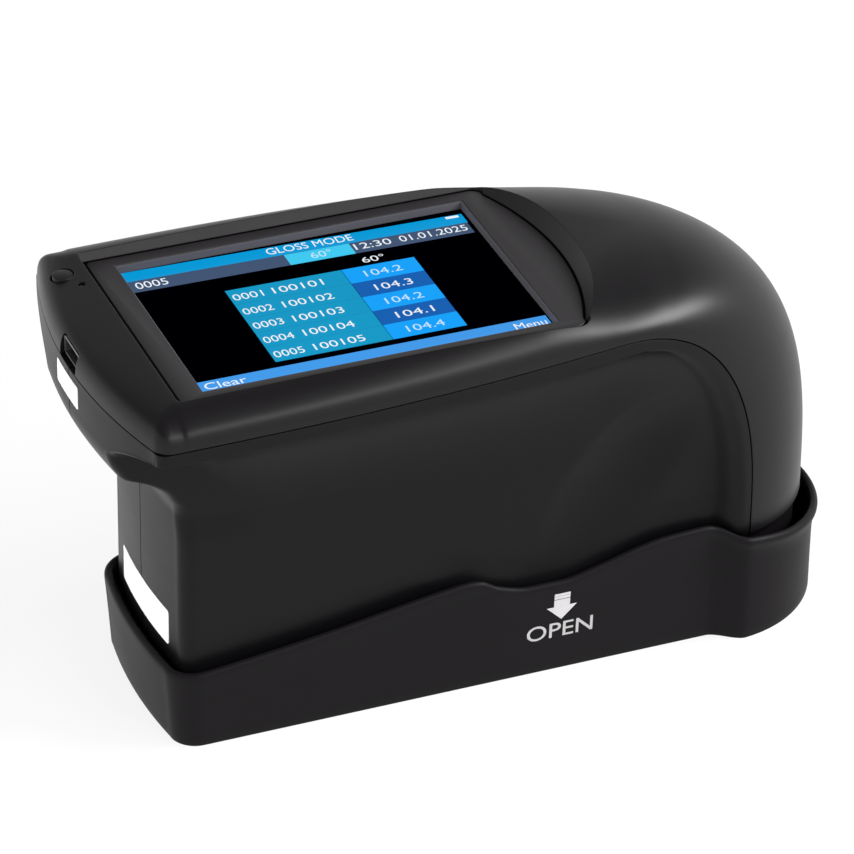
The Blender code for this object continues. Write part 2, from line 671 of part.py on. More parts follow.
def cover_rows(wall=0.0):
    """All cross rows of the top cover, or of its hollow, from the head's end face to the spine's foot."""
    bow = 1 / (2 * HEAD_ARC_RADIUS)
    corner_x = HEAD_END_X + bow * HEAD_HALF_WIDTH ** 2 + HEAD_CORNER_RADIUS
    rows = []
    for index, (back, rise, share, corner) in enumerate(HOLLOW_END_ROWS if wall else END_ROWS):
        top = (HEAD_END_X + back, PARTING_Z + rise * HEAD_FACE_HEIGHT)
        edge_x = top[0] + bow * share * HEAD_HALF_WIDTH ** 2
        if not wall:
            edge_x = max(corner_x + 0.0001 * index, edge_x)
        width = half_width(max(edge_x, corner_x))
        rows.append(section_row(top, (edge_x, PARTING_Z), width, bow * share, corner, MIN_SKIRT, wall=wall))
    offset, last = (0.5, 0) if wall else (0.0, 1)
    for i in range(HEAD_ROWS + last):
        t = (i + offset) / HEAD_ROWS
        x = PLATE_LEFT_X + (DOME_START_X - PLATE_LEFT_X) * t
        top = (x, HEAD_TOP_Z + (DOME_TOP_Z - HEAD_TOP_Z) * t)
        edge = (x + (PARTING_BEND_X - DOME_START_X) * t, PARTING_Z)
        skirt = along(SHOULDER_STATIONS, x - DOME_START_X, 2)
        corner = along(SHOULDER_STATIONS, x - DOME_START_X)
        rows.append(section_row(top, edge, half_width(edge[0]), 0.0, corner, skirt, wall=wall))
    for i in range(last, DOME_ROWS + last):
        t = (i + offset) / DOME_ROWS
        angle = math.pi / 2 * (1 - t ** 1.5)
        top = quarter_curve(
            (DOME_START_X, DOME_FOOT_Z), (SPINE_APEX_X - DOME_START_X, DOME_TOP_Z - DOME_FOOT_Z), DOME_POWER, angle
        )
        edge = quarter_curve(
            (PARTING_BEND_X, PARTING_BEND_Z), (PARTING_RUN_X, PARTING_RUN_Z), PARTING_POWER, angle
        )
        width = half_width(edge[0])
        blend = smoothstep(t / 0.8)
        turn = math.pi / 2 + (SPINE_TURN - math.pi / 2) * blend
        corner = along(SHOULDER_STATIONS, top[0] - DOME_START_X)
        corner = min(corner, width) * (1 - blend) + width / math.sin(SPINE_TURN) * blend
        skirt = along(SHOULDER_STATIONS, top[0] - DOME_START_X, 2)
        rows.append(section_row(top, edge, width, 0.0, corner, skirt, turn, wall))
    fade = SPINE_FOOT_Z - SPINE_FOOT_FADE
    reach = PARTING_FOOT_X - SPINE_CENTER_X
    for level in (SPINE_FOOT_Z, (SPINE_FOOT_Z + fade) / 2, fade, METER_FOOT_Z):
        height = level + offset * MIN_SKIRT
        radius = SPINE_RADIUS - foot_inset(height)
        width = math.sqrt(radius ** 2 - reach ** 2)
        rows.append(section_row(
            (SPINE_CENTER_X + radius, height), (PARTING_FOOT_X, height), width, 0.0, radius, MIN_SKIRT,
            math.acos(reach / radius), wall,
        ))
    if wall:
        rows.append([(x, y, z - HOLLOW_REACH) for x, y, z in rows[-1]])
    return rows


def display_outline(inset, push=0.0):
    """Closed plan outline of the display plate: straight left edge, arched right edge."""
    left = PLATE_LEFT_X + inset
    width = PLATE_HALF_WIDTH - inset
    apex = PLATE_APEX_X - inset + push
    corner = PLATE_CORNER_RADIUS
    points = []
    for i in range(CORNER_STEPS + 1):
        angle = math.pi / 2 * i / CORNER_STEPS
        points.append((left + corner / 3 * (1 - math.sin(angle)), -width + corner / 3 * (1 - math.cos(angle))))
    points.reverse()
    arc_y = width - corner
    arc_x = apex - (PLATE_ARC_RADIUS - math.sqrt(PLATE_ARC_RADIUS ** 2 - arc_y ** 2))
    lean = math.asin(arc_y / PLATE_ARC_RADIUS)
    for i in range(CORNER_STEPS + 1):
        angle = -math.pi / 2 + (math.pi / 2 - lean) * i / CORNER_STEPS
        points.append((
            arc_x + corner * (math.cos(angle) - math.cos(lean)),
            -width + corner * (1 + math.sin(angle)),
        ))
    for i in range(1, 10):
        y = points[2 * CORNER_STEPS + 1][1] * (1 - i / 9)
        points.append((apex - (PLATE_ARC_RADIUS - math.sqrt(PLATE_ARC_RADIUS ** 2 - y ** 2)), y))
    return points + [(x, -y) for x, y in reversed(points[:-1])]


def cover_height(x, y):
    """Height of the cover's outside over the head."""
    t = (x - PLATE_LEFT_X) / (DOME_START_X - PLATE_LEFT_X)
    top = HEAD_TOP_Z + (DOME_TOP_Z - HEAD_TOP_Z) * min(1.0, max(0.0, t))
    width, corner = half_width(x), along(SHOULDER_STATIONS, x - DOME_START_X)
    sine = min(max(0.0, abs(y) - width + corner) / corner, 1.0)
    fall = top - PARTING_Z - along(SHOULDER_STATIONS, x - DOME_START_X, 2)
    return top - fall * (1 - math.sqrt(1 - sine ** 2))


def seat_ring(inset, left_x, bow, right_x, z):
    """Ring of the display seat, which follows the cover's walls at a distance and stays under its top."""
    half = []
    edge_y = half_width(left_x) - inset
    for i in range(5):
        y = edge_y * i / 5
        half.append((left_x + bow * y * y, -y))
    start = left_x + bow * edge_y ** 2
    for i in range(9):
        x = start + (right_x - SEAT_CORNER - start) * i / 8
        half.append((x, inset - half_width(x)))
    last = half[-1][1]
    for i in range(1, 5):
        y = last * (1 - i / 4)
        half.append((right_x - (PLATE_ARC_RADIUS - math.sqrt(PLATE_ARC_RADIUS ** 2 - y * y)), y))
    return [(x, y, min(z, cover_height(x, y) - SEAT_COVER)) for x, y in mirrored(half)]


def build_cover(shop, meter):
    """Top cover: a moulded shell over the head, the dome and the spine."""
    cover = loft("top_cover", cover_rows())
    shop.cut(cover, loft("cover_hollow", cover_rows(COVER_WALL)))
    bow = 1 / (2 * HEAD_ARC_RADIUS)
    low = RECESS_FLOOR_Z - SEAT_THICKNESS
    seat = loft("display_seat", [
        seat_ring(SEAT_INSET, HEAD_END_X + SEAT_SET_BACK, bow, PLATE_APEX_X + SEAT_REACH, low),
        seat_ring(
            SEAT_INSET + SEAT_DRAFT, HEAD_END_X + SEAT_SET_BACK + SEAT_DRAFT, bow, PLATE_APEX_X + SEAT_REACH,
            PLATE_Z - SEAT_DROP,
        ),
        seat_ring(
            SEAT_TOP_INSET, PLATE_LEFT_X + SEAT_LAP, 0.0, PLATE_APEX_X + SEAT_TOP_REACH, PLATE_Z + SEAT_RISE
        ),
    ])
    shop.add(cover, seat)
    room = USB_SHELL + SEAT_GAP
    shop.cut(cover, box(
        "usb_port",
        (HEAD_END_X - OVERCUT, USB_Y - USB_WIDTH / 2 - room, USB_CENTER_Z - USB_HEIGHT / 2 - room),
        (
            HEAD_END_X + USB_SET_BACK + USB_DEPTH + USB_ROOM, USB_Y + USB_WIDTH / 2 + room,
            USB_CENTER_Z + USB_HEIGHT / 2 + room,
        ),
    ))
    high = DOME_TOP_Z + OVERCUT
    recess = loft("display_recess", [
        [(x, y, RECESS_FLOOR_Z) for x, y in display_outline(0.0)],
        [(x, y, PLATE_Z) for x, y in display_outline(0.0)],
        [(x, y, high) for x, y in display_outline(0.0, CRESCENT_SLOPE * (high - PLATE_Z))],
    ])
    shop.cut(cover, recess)
    margin = TOUCH_MARGIN + SEAT_GAP
    shop.cut(cover, box(
        "screen_window",
        (SCREEN_X - OPENING_LENGTH / 2 - margin, -OPENING_WIDTH / 2 - margin, low - OVERCUT),
        (SCREEN_X + OPENING_LENGTH / 2 + margin, OPENING_WIDTH / 2 + margin, PLATE_Z),
    ))
    depth = 2 * (SEAT_THICKNESS + OVERCUT)
    shop.cut(cover, cylinder("power_hole", (POWER_X, POWER_Y, PLATE_Z), POWER_RADIUS + KEY_CLEARANCE, depth))
    shop.cut(cover, cylinder("lamp_hole", (LAMP_X, LAMP_Y, PLATE_Z), LAMP_RADIUS + SEAT_GAP, depth, steps=12))
    return shop.finish(cover, (0.022, 0.021, 0.022), 0.36, parent=meter)


def body_half_width(x, z):
    """Half-width of the lower housing's side at a place and height."""
    pad = smoothstep((along(RIDGE_STATIONS, x) - z) / PAD_FADE + 1)
    width = BODY_HALF_WIDTH - PAD_HEIGHT * (1 - pad)
    across, up = x - DIMPLE_X, z - DIMPLE_Z
    u = across * math.cos(DIMPLE_ANGLE) + up * math.sin(DIMPLE_ANGLE)
    v = up * math.cos(DIMPLE_ANGLE) - across * math.sin(DIMPLE_ANGLE)
    reach = (u / DIMPLE_HALF_LENGTH) ** 2 + (v / DIMPLE_HALF_WIDTH) ** 2
    if reach < 1:
        width -= DIMPLE_DEPTH * (1 - reach) ** 1.2
    below = max(0.0, parting_z(x) - STRIP_HEIGHT - z) / OVERHANG_DEPTH
    flare = 1 - math.sqrt(1 - (1 - below) ** 2) if below < 1 else 0.0
    soft = smoothstep((x - PARTING_BEND_X) / PARTING_RUN_X * 2)
    flare += ((1 - min(below, 1.0)) ** 2 - flare) * soft
    step = smoothstep(1 - (parting_x(z) - STEP_LAND - x) / STEP_RUN)
    spread = 1 - (1 - flare) * (1 - step)
    return width + (half_width(x) - foot_inset(z) * step - width) * spread


def housing_ring(z, inset=0.0):
    """Plan ring of the lower housing at a height, closed behind the parting curve.

    With an inset it is the ring of the hollow inside, which lies inward and above.
    """
    level = max(z - inset * HOLLOW_LIFT, METER_FOOT_Z)
    stand = along(CHIN_STATIONS, level - PARTING_Z)
    length = along(CHIN_STATIONS, level - PARTING_Z, 2)
    side = along(CHIN_STATIONS, level - PARTING_Z, 3)
    face_x = NECK_FRONT_X + (HEAD_END_X - NECK_FRONT_X) * stand
    bow = 1 / (2 * HEAD_ARC_RADIUS)
    flat_y = body_half_width(face_x + length, level) - side
    corner_x = face_x + bow * flat_y ** 2
    side_x = corner_x + length
    width = body_half_width(side_x, level)
    half = [(face_x + bow * (flat_y * i / ARC_STEPS) ** 2, -flat_y * i / ARC_STEPS) for i in range(ARC_STEPS)]
    for i in range(CORNER_STEPS + 1):
        angle = math.pi / 2 * i / CORNER_STEPS
        half.append((
            corner_x + length * (1 - math.cos(angle)),
            -flat_y - (width - flat_y) * math.sin(angle),
        ))
    if inset:
        half = hollow_front(half, inset)
        side_x = half[-1][0]
    end_x = parting_x(level) + BACK_REACH + inset
    bend = max(side_x + 0.02, parting_x(level) - STEP_LAND - STEP_RUN)
    for i in range(1, SIDE_STEPS + 1):
        x = side_x + (bend - side_x) * i / SIDE_STEPS
        half.append((x, inset - body_half_width(x, level)))
    for i in range(1, STEP_STEPS + 1):
        x = bend + (end_x - bend) * i / STEP_STEPS
        half.append((x, inset - body_half_width(min(x, parting_x(level)), level)))
    half.append((end_x, 0.0))
    return [(x, y, z) for x, y in mirrored(half)]


def hollow_front(half, inset):
    """Move the near half of a front outline inward along its own normals."""
    ends = [(half[1][0], -half[1][1])] + half + [(half[-1][0] + 1, half[-1][1])]
    moved = []
    for before, (x, y), after in zip(ends, half, ends[2:]):
        along_x, along_y = after[0] - before[0], after[1] - before[1]
        size = math.hypot(along_x, along_y)
        moved.append((x - along_y / size * inset, y + along_x / size * inset))
    return moved


def housing_heights():
    """Heights of the housing's rings, closer together where the form turns."""
    neck_top = PARTING_Z + CHIN_STATIONS[0][0]
    lower = [METER_FOOT_Z + (neck_top - METER_FOOT_Z) * i / GRIP_RINGS for i in range(GRIP_RINGS + 1)]
    upper = [PARTING_Z + height for height in CHIN_RINGS]
    return lower + upper + [PARTING_Z - STRIP_HEIGHT, PARTING_Z + RING_OVERRUN]


def build_housing(shop, meter):
    """Lower housing: one moulded form, split down the middle into two shells."""
    below = METER_FOOT_Z - OVERCUT
    profile = [(HEAD_END_X - OVERCUT, below), (PARTING_FOOT_X - PART_GAP, below)]
    for i in range(15):
        angle = math.radians(90) * i / 14
        profile.append(quarter_curve(
            (PARTING_BEND_X, PARTING_BEND_Z), (PARTING_RUN_X - PART_GAP, PARTING_RUN_Z - PART_GAP),
            PARTING_POWER, angle,
        ))
    profile.append((HEAD_END_X - OVERCUT, PARTING_Z - PART_GAP))
    rings = [housing_ring(z) for z in housing_heights()]
    lift = HOUSING_WALL * HOLLOW_LIFT
    hollow_heights = [below] + [z + lift for z in housing_heights()] + [PARTING_Z + OVERCUT]
    hollow_rings = [housing_ring(z, HOUSING_WALL) for z in hollow_heights]
    reach = HEAD_HALF_WIDTH + OVERCUT
    for name, low, high in (("near_housing", -reach, -PART_GAP / 2), ("far_housing", PART_GAP / 2, reach)):
        shell = loft(name, rings)
        shop.keep(shell, side_prism(f"{name}_half", profile, low, high))
        shop.cut(shell, loft(f"{name}_hollow", hollow_rings))
        if name == "far_housing":
            shop.cut(shell, cylinder(
                "measure_hole", (MEASURE_X, BODY_HALF_WIDTH, MEASURE_Z), MEASURE_RADIUS + KEY_CLEARANCE, 3 * OVERCUT,
                axis=(0, 1, 0),
            ))
        shop.finish(shell, (0.017, 0.016, 0.017), 0.45, parent=meter)


def build_display(shop, meter):
    """Display plate, touch panel, screen module and main board, stacked under the recess."""
    plate = prism("display_plate", display_outline(SEAT_GAP), PLATE_Z - PLATE_THICKNESS, PLATE_Z)
    shop.cut(plate, box(
        "plate_opening", (SCREEN_X - OPENING_LENGTH / 2, -OPENING_WIDTH / 2, PLATE_Z - OVERCUT),
        (SCREEN_X + OPENING_LENGTH / 2, OPENING_WIDTH / 2, PLATE_Z + OVERCUT),
    ))
    shop.finish(plate, (0.030, 0.028, 0.030), 0.5, parent=meter)
    half_x, half_y = OPENING_LENGTH / 2 + TOUCH_MARGIN, OPENING_WIDTH / 2 + TOUCH_MARGIN
    touch = box("touch_panel", (SCREEN_X - half_x, -half_y, TOUCH_Z), (SCREEN_X + half_x, half_y, RECESS_FLOOR_Z))
    shop.finish(touch, (0.005, 0.005, 0.008), 0.12, parent=meter)
    half_x, half_y = OPENING_LENGTH / 2 + MODULE_MARGIN, OPENING_WIDTH / 2 + MODULE_MARGIN
    module = box(
        "lcd_module", (SCREEN_X - half_x, -half_y, MODULE_Z), (SCREEN_X + half_x, half_y, MODULE_Z + MODULE_THICKNESS)
    )
    shop.finish(module, (0.60, 0.60, 0.58), 0.35, 0.8, parent=meter)
    board = box(
        "main_board", (BOARD_LEFT_X, -BOARD_HALF_WIDTH, BOARD_Z), (BOARD_RIGHT_X, BOARD_HALF_WIDTH, BOARD_TOP_Z)
    )
    shop.finish(board, (0.02, 0.14, 0.06), 0.5, parent=meter)


def build_chassis(shop, meter):
    """Shelf that carries the battery, with posts up to the board and legs down to the optics."""
    chassis = box(
        "chassis", (SHELF_LEFT_X, -SHELF_HALF_WIDTH, SHELF_Z), (SHELF_RIGHT_X, SHELF_HALF_WIDTH, SHELF_TOP_Z)
    )
    sink = SHELF_THICKNESS / 2
    post_low, post_high = SHELF_TOP_Z - sink, BOARD_Z - SEAT_GAP
    leg_low, leg_high = BLOCK_Z + BLOCK_HEIGHT + SEAT_GAP, SHELF_Z + sink
    supports = [
        cylinder("post", (x, y, (post_low + post_high) / 2), POST_RADIUS, post_high - post_low, steps=16)
        for x in POST_X_PAIR for y in (-POST_Y, POST_Y)
    ]
    supports += [
        cylinder("leg", (x, 0, (leg_low + leg_high) / 2), LEG_RADIUS, leg_high - leg_low, steps=16)
        for x in LEG_X_PAIR
    ]
    supports.append(box(
        "bracket", (MEASURE_X - SWITCH_SIZE / 2, BRACKET_Y, post_low),
        (MEASURE_X + SWITCH_SIZE / 2, BRACKET_Y + BRACKET_THICKNESS, MEASURE_Z + SWITCH_SIZE / 2),
    ))
    shop.add(chassis, joined("chassis_supports", supports))
    shop.finish(chassis, (0.05, 0.05, 0.052), 0.5, parent=meter)
    battery = box(
        "battery", (BATTERY_X - BATTERY_LENGTH / 2, -BATTERY_WIDTH / 2, SHELF_TOP_Z + SEAT_GAP),
        (BATTERY_X + BATTERY_LENGTH / 2, BATTERY_WIDTH / 2, SHELF_TOP_Z + SEAT_GAP + BATTERY_HEIGHT),
    )
    shop.finish(battery, (0.10, 0.16, 0.32), 0.45, parent=meter)


def beam(side, distance):
    """Point on a light channel's axis, at a distance from the aperture."""
    return Vector((
        APERTURE_X + side * math.sin(BEAM_ANGLE) * distance, 0, METER_FOOT_Z + math.cos(BEAM_ANGLE) * distance,
    ))


def build_optics(shop, meter):
    """Optical block with its two channels, and what sits in them."""
    foot, half, height = BLOCK_FOOT_HALF_LENGTH, BLOCK_HALF_LENGTH, BLOCK_HEIGHT
    profile = [
        (-foot, 0), (foot, 0), (half - 0.004, 0.006), (half, height - 0.008), (half - 0.008, height),
        (-half + 0.008, height), (-half, height - 0.008), (-half + 0.004, 0.006),
    ]
    block = side_prism(
        "optical_block", [(APERTURE_X + x, BLOCK_Z + z) for x, z in profile], -BLOCK_HALF_WIDTH, BLOCK_HALF_WIDTH
    )
    bore_length = 2 * BLOCK_HALF_LENGTH
    for side, name in ((-1, "source_bore"), (1, "receiver_bore")):
        direction = (beam(side, 1) - beam(side, 0)).normalized()
        shop.cut(block, cylinder(name, beam(side, bore_length / 2), BORE_RADIUS, bore_length, axis=direction))
    shop.cut(block, joined("screw_pilots", [
        cylinder(
            "pilot", (x, y, BLOCK_Z), SCREW_SHANK_RADIUS + SEAT_GAP, 2 * SCREW_SHANK_LENGTH, steps=16,
        )
        for x, y in screw_places()
    ]))
    shop.finish(block, (0.010, 0.010, 0.011), 0.7, parent=meter)
    bulge = LENS_THICKNESS / 2
    lens_profile = [(0, bulge), (LENS_RADIUS * 0.5, bulge * 0.8), (LENS_RADIUS, bulge * 0.3)]
    lens_profile += [(r, -z) for r, z in reversed(lens_profile)]
    body = SOURCE_LENGTH
    emitter_profile = [
        (0, 0.0), (SOURCE_RADIUS * 0.45, 0.0), (SOURCE_RADIUS * 0.55, body * 0.25), (SOURCE_RADIUS, body * 0.25),
        (SOURCE_RADIUS, body), (0, body),
    ]
    for side, lens_name, end_name in ((-1, "source_lens", "light_source"), (1, "receiver_lens", "light_detector")):
        direction = (beam(side, 1) - beam(side, 0)).normalized()
        turn = Vector((0, 0, 1)).rotation_difference(direction)
        lens = turned(lens_name, lens_profile, 24)
        end = turned(end_name, [(r, z) for r, z in reversed(emitter_profile)], 24)
        for obj, distance in ((lens, LENS_DISTANCE), (end, SOURCE_DISTANCE)):
            obj.rotation_mode = "QUATERNION"
            obj.rotation_quaternion = turn
            obj.location = beam(side, distance)
        shop.finish(lens, (0.85, 0.88, 0.90), 0.03, parent=meter)
        shop.finish(end, (0.35, 0.35, 0.36), 0.4, parent=meter)


def screw_places():
    """Plan places of the bottom plate's screws."""
    return [
        (APERTURE_X + sx * SCREW_X_SPREAD, sy * SCREW_Y_SPREAD) for sx in (-1, 1) for sy in (-1, 1)
    ]


def build_bottom(shop, meter):
    """Bottom plate with the measuring aperture, and the screws that hold it to the optics."""
    plate = prism("bottom_plate", BODY_FOOT.outline(BOTTOM_INSET), METER_FOOT_Z, BOTTOM_TOP_Z)
    hole = cylinder("aperture", (0, 0, 0), 0.5, 0.02)
    hole.data.transform(Matrix.Diagonal((APERTURE_LENGTH, APERTURE_WIDTH, 1, 1)))
    hole.location = (APERTURE_X, 0, METER_FOOT_Z)
    shop.cut(plate, hole)
    head_low = METER_FOOT_Z + SEAT_GAP
    head_high = head_low + SCREW_HEAD_HEIGHT
    head = SCREW_HEAD_RADIUS + SEAT_GAP
    shank = SCREW_SHANK_RADIUS + SEAT_GAP
    for number, (x, y) in enumerate(screw_places(), 1):
        hole = turned(f"screw_hole_{number}", [
            (0, BOTTOM_TOP_Z + 0.001), (shank, BOTTOM_TOP_Z + 0.001), (shank, head_high + SEAT_GAP),
            (head, head_high + SEAT_GAP), (head, METER_FOOT_Z - 0.001), (0, METER_FOOT_Z - 0.001),
        ], 16)
        hole.location = (x, y, 0)
        shop.cut(plate, hole)
        top = head_high + SCREW_SHANK_LENGTH
        screw = turned(f"bottom_screw_{number}", [
            (0, top), (SCREW_SHANK_RADIUS, top), (SCREW_SHANK_RADIUS, head_high),
            (SCREW_HEAD_RADIUS, head_high), (SCREW_HEAD_RADIUS, head_low),
            (SCREW_SHANK_RADIUS, head_low), (SCREW_SHANK_RADIUS * 0.8, head_low + 0.0008), (0, head_low + 0.0008),
        ], 16)
        screw.location = (x, y, 0)
        shop.finish(screw, (0.5, 0.5, 0.52), 0.3, 1.0, parent=meter)
    shop.finish(plate, (0.014, 0.014, 0.015), 0.5, parent=meter)


def build_controls(shop, meter):
    """Power key, status lamp, measuring key, their switches and the USB socket."""
    half = SWITCH_SIZE / 2
    switch_low = BOARD_TOP_Z + SEAT_GAP
    switch = box(
        "power_switch", (POWER_X - half, POWER_Y - half, switch_low),
        (POWER_X + half, POWER_Y + half, switch_low + SWITCH_HEIGHT),
    )
    shop.finish(switch, (0.45, 0.45, 0.44), 0.4, 0.6, parent=meter)
    key_low = switch_low + SWITCH_HEIGHT + KEY_TO_SWITCH
    height = POWER_TOP_Z - key_low
    crown = POWER_RADIUS * 0.12
    power = turned("power_button", [
        (0, height), (POWER_RADIUS * 0.8, height - crown * 0.5), (POWER_RADIUS, height - crown * 1.8),
        (POWER_RADIUS, 0), (0, 0),
    ])
    power.location = (POWER_X, POWER_Y, key_low)
    shop.finish(power, (0.020, 0.020, 0.021), 0.35, parent=meter)
    lamp = cylinder(
        "status_lamp", (LAMP_X, LAMP_Y, (switch_low + LAMP_TOP_Z) / 2), LAMP_RADIUS, LAMP_TOP_Z - switch_low, steps=12
    )
    shop.finish(lamp, (0.04, 0.04, 0.045), 0.2, parent=meter)
    face = BRACKET_Y + BRACKET_THICKNESS + SEAT_GAP
    measure_switch = box(
        "measure_switch", (MEASURE_X - half, face, MEASURE_Z - half),
        (MEASURE_X + half, face + SWITCH_HEIGHT, MEASURE_Z + half),
    )
    shop.finish(measure_switch, (0.45, 0.45, 0.44), 0.4, 0.6, parent=meter)
    back = face + SWITCH_HEIGHT + KEY_TO_SWITCH
    depth = body_half_width(MEASURE_X, MEASURE_Z) + MEASURE_PROUD - back
    measure = turned("measure_button", [
        (0, depth), (MEASURE_RADIUS * 0.8, depth - 0.0002), (MEASURE_RADIUS, depth - 0.0008), (MEASURE_RADIUS, 0), (0, 0),
    ])
    measure.rotation_euler = (-math.pi / 2, 0, 0)
    measure.location = (MEASURE_X, back, MEASURE_Z)
    shop.finish(measure, (0.020, 0.020, 0.021), 0.35, parent=meter)
    mouth = HEAD_END_X + USB_SET_BACK
    low = USB_CENTER_Z - USB_HEIGHT / 2 - USB_SHELL
    high = USB_CENTER_Z + USB_HEIGHT / 2 + USB_SHELL
    socket = box(
        "usb_socket", (mouth, USB_Y - USB_WIDTH / 2 - USB_SHELL, low),
        (mouth + USB_DEPTH, USB_Y + USB_WIDTH / 2 + USB_SHELL, high),
    )
    shop.add(socket, box(
        "socket_foot", (BOARD_LEFT_X + 0.0005, USB_Y - USB_WIDTH / 3, BOARD_TOP_Z + SEAT_GAP),
        (mouth + USB_DEPTH - 0.0005, USB_Y + USB_WIDTH / 3, low + 0.0006),
    ))
    shop.cut(socket, box(
        "socket_mouth", (mouth - 0.001, USB_Y - USB_WIDTH / 2, USB_CENTER_Z - USB_HEIGHT / 2),
        (mouth + USB_DEPTH * 0.8, USB_Y + USB_WIDTH / 2, USB_CENTER_Z + USB_HEIGHT / 2),
    ))
    shop.add(socket, box(
        "socket_tongue", (mouth + 0.0010, USB_Y - USB_WIDTH * 0.35, USB_CENTER_Z - 0.0003),
        (mouth + USB_DEPTH * 0.85, USB_Y + USB_WIDTH * 0.35, USB_CENTER_Z + 0.0005),
    ))
    shop.finish(socket, (0.62, 0.62, 0.63), 0.25, 1.0, parent=meter)


def main():
    """Clear the scene and build the meter and its base."""
    for obj in list(bpy.data.objects):
        bpy.data.objects.remove(obj)
    shop = Workshop()
    meter = bpy.data.objects.new("meter", None)
    meter.location = (APERTURE_X, 0, METER_FOOT_Z)
    shop.parts.objects.link(meter)
    build_tray(shop)
    build_tile(shop)
    build_cover(shop, meter)
    build_housing(shop, meter)
    build_display(shop, meter)
    build_chassis(shop, meter)
    build_optics(shop, meter)
    build_bottom(shop, meter)
    build_controls(shop, meter)


main()
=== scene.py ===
"""Looks of a handheld gloss meter that stands in its calibration base.

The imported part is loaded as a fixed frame. The moulded shells, the display, the keys,
the socket, the screws, the labels and the printed marks are modelled finely here. The
pieces inside keep their own meshes and get dressed materials. +X runs from the display
head's end face to the domed end, +Z is up, and all sizes are in metres.
"""

import json
import logging
import math
from dataclasses import dataclass
from enum import Enum
from typing import Any, Callable, Iterable, Optional, Sequence, Union

import bmesh
import bpy
from mathutils import Matrix, Vector

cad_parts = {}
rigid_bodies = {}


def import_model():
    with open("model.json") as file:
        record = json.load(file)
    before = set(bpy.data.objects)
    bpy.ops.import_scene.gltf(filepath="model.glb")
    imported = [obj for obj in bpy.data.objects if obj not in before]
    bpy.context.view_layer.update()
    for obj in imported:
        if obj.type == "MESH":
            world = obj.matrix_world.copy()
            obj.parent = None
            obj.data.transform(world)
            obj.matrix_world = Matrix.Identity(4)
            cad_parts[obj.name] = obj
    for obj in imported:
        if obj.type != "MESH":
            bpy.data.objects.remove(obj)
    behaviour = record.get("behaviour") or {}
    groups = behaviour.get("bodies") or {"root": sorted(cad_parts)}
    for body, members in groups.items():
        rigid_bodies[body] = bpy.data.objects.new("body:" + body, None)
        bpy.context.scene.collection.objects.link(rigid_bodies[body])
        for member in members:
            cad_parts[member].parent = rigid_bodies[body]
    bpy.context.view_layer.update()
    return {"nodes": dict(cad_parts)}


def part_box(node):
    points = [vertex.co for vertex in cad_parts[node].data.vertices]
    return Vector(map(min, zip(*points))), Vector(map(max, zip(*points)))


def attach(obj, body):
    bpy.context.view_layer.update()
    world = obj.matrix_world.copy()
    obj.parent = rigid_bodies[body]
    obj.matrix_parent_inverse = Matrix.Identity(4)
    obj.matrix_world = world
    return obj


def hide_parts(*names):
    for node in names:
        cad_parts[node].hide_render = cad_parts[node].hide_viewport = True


LOG = logging.getLogger("gloss_meter")

Point = tuple[float, float, float]
Flat = tuple[float, float]
Colour = tuple[float, float, float, float]
Rows = list[list[Point]]


class Body(str, Enum):
    """Bodies of the frame that the pieces ride on."""

    BASE = "base"
    METER = "meter"
    POWER_KEY = "power_key"
    MEASURE_KEY = "measure_key"


class Cut(str, Enum):
    """Ways in which two forms are combined."""

    AWAY = "DIFFERENCE"
    JOIN = "UNION"
    SHARE = "INTERSECT"


def srgb(red: float, green: float, blue: float) -> Colour:
    """Linear colour of a screen colour.

    Args:
        red, green, blue: channels from 0 to 255.

    Returns:
        The colour in linear light, with alpha.
    """
    def channel(value: float) -> float:
        """Linear light of one channel."""
        share = value / 255
        return share / 12.92 if share <= 0.04045 else ((share + 0.055) / 1.055) ** 2.4

    return channel(red), channel(green), channel(blue), 1.0


def scaled(colour: Colour, factor: float) -> Colour:
    """The colour with its light multiplied by a factor."""
    return colour[0] * factor, colour[1] * factor, colour[2] * factor, 1.0


def smoothstep(t: float) -> float:
    """Ease from 0 to 1 as t runs from 0 to 1."""
    t = min(1.0, max(0.0, t))
    return t * t * (3 - 2 * t)


def along(stations: Sequence[Sequence[float]], x: float, column: int = 1) -> float:
    """Smooth value between stations, without overshoot.

    Args:
        stations: rows of (x, value, ...), in order of x.
        x: place at which the value is wanted.
        column: which value of a row is read.

    Returns:
        The value at x.
    """
    if x <= stations[0][0]:
        return stations[0][column]
    if x >= stations[-1][0]:
        return stations[-1][column]
    slopes = [(b[column] - a[column]) / (b[0] - a[0]) for a, b in zip(stations, stations[1:])]
    tangents = [0.0]
    for left, right in zip(slopes, slopes[1:]):
        tangents.append(2 * left * right / (left + right) if left * right > 0 else 0.0)
    tangents.append(0.0)
    i = next(k for k, b in enumerate(stations[1:]) if x <= b[0])
    a, b = stations[i], stations[i + 1]
    run = b[0] - a[0]
    t = (x - a[0]) / run
    lift = tangents[i] * run * t * (1 - t) ** 2 - tangents[i + 1] * run * t * t * (1 - t)
    return a[column] + (b[column] - a[column]) * smoothstep(t) + lift


def eased(rows: Rows, steps: int) -> Rows:
    """Rows with smoothly curved rows added between them.

    Args:
        rows: rows of points, all of one length.
        steps: spans that each gap between two rows becomes.

    Returns:
        The finer list, through all the given rows.
    """
    padded = [rows[0]] + rows + [rows[-1]]
    finer: Rows = []
    for before, first, second, after in zip(padded, padded[1:], padded[2:], padded[3:]):
        for step in range(steps):
            t = step / steps
            row = []
            for p0, p1, p2, p3 in zip(before, first, second, after):
                row.append(tuple(
                    0.5 * (2 * b + (c - a) * t + (2 * a - 5 * b + 4 * c - d) * t * t
                           + (3 * b - a - 3 * c + d) * t ** 3)
                    for a, b, c, d in zip(p0, p1, p2, p3)
                ))
            finer.append(row)
    finer.append(list(rows[-1]))
    return finer


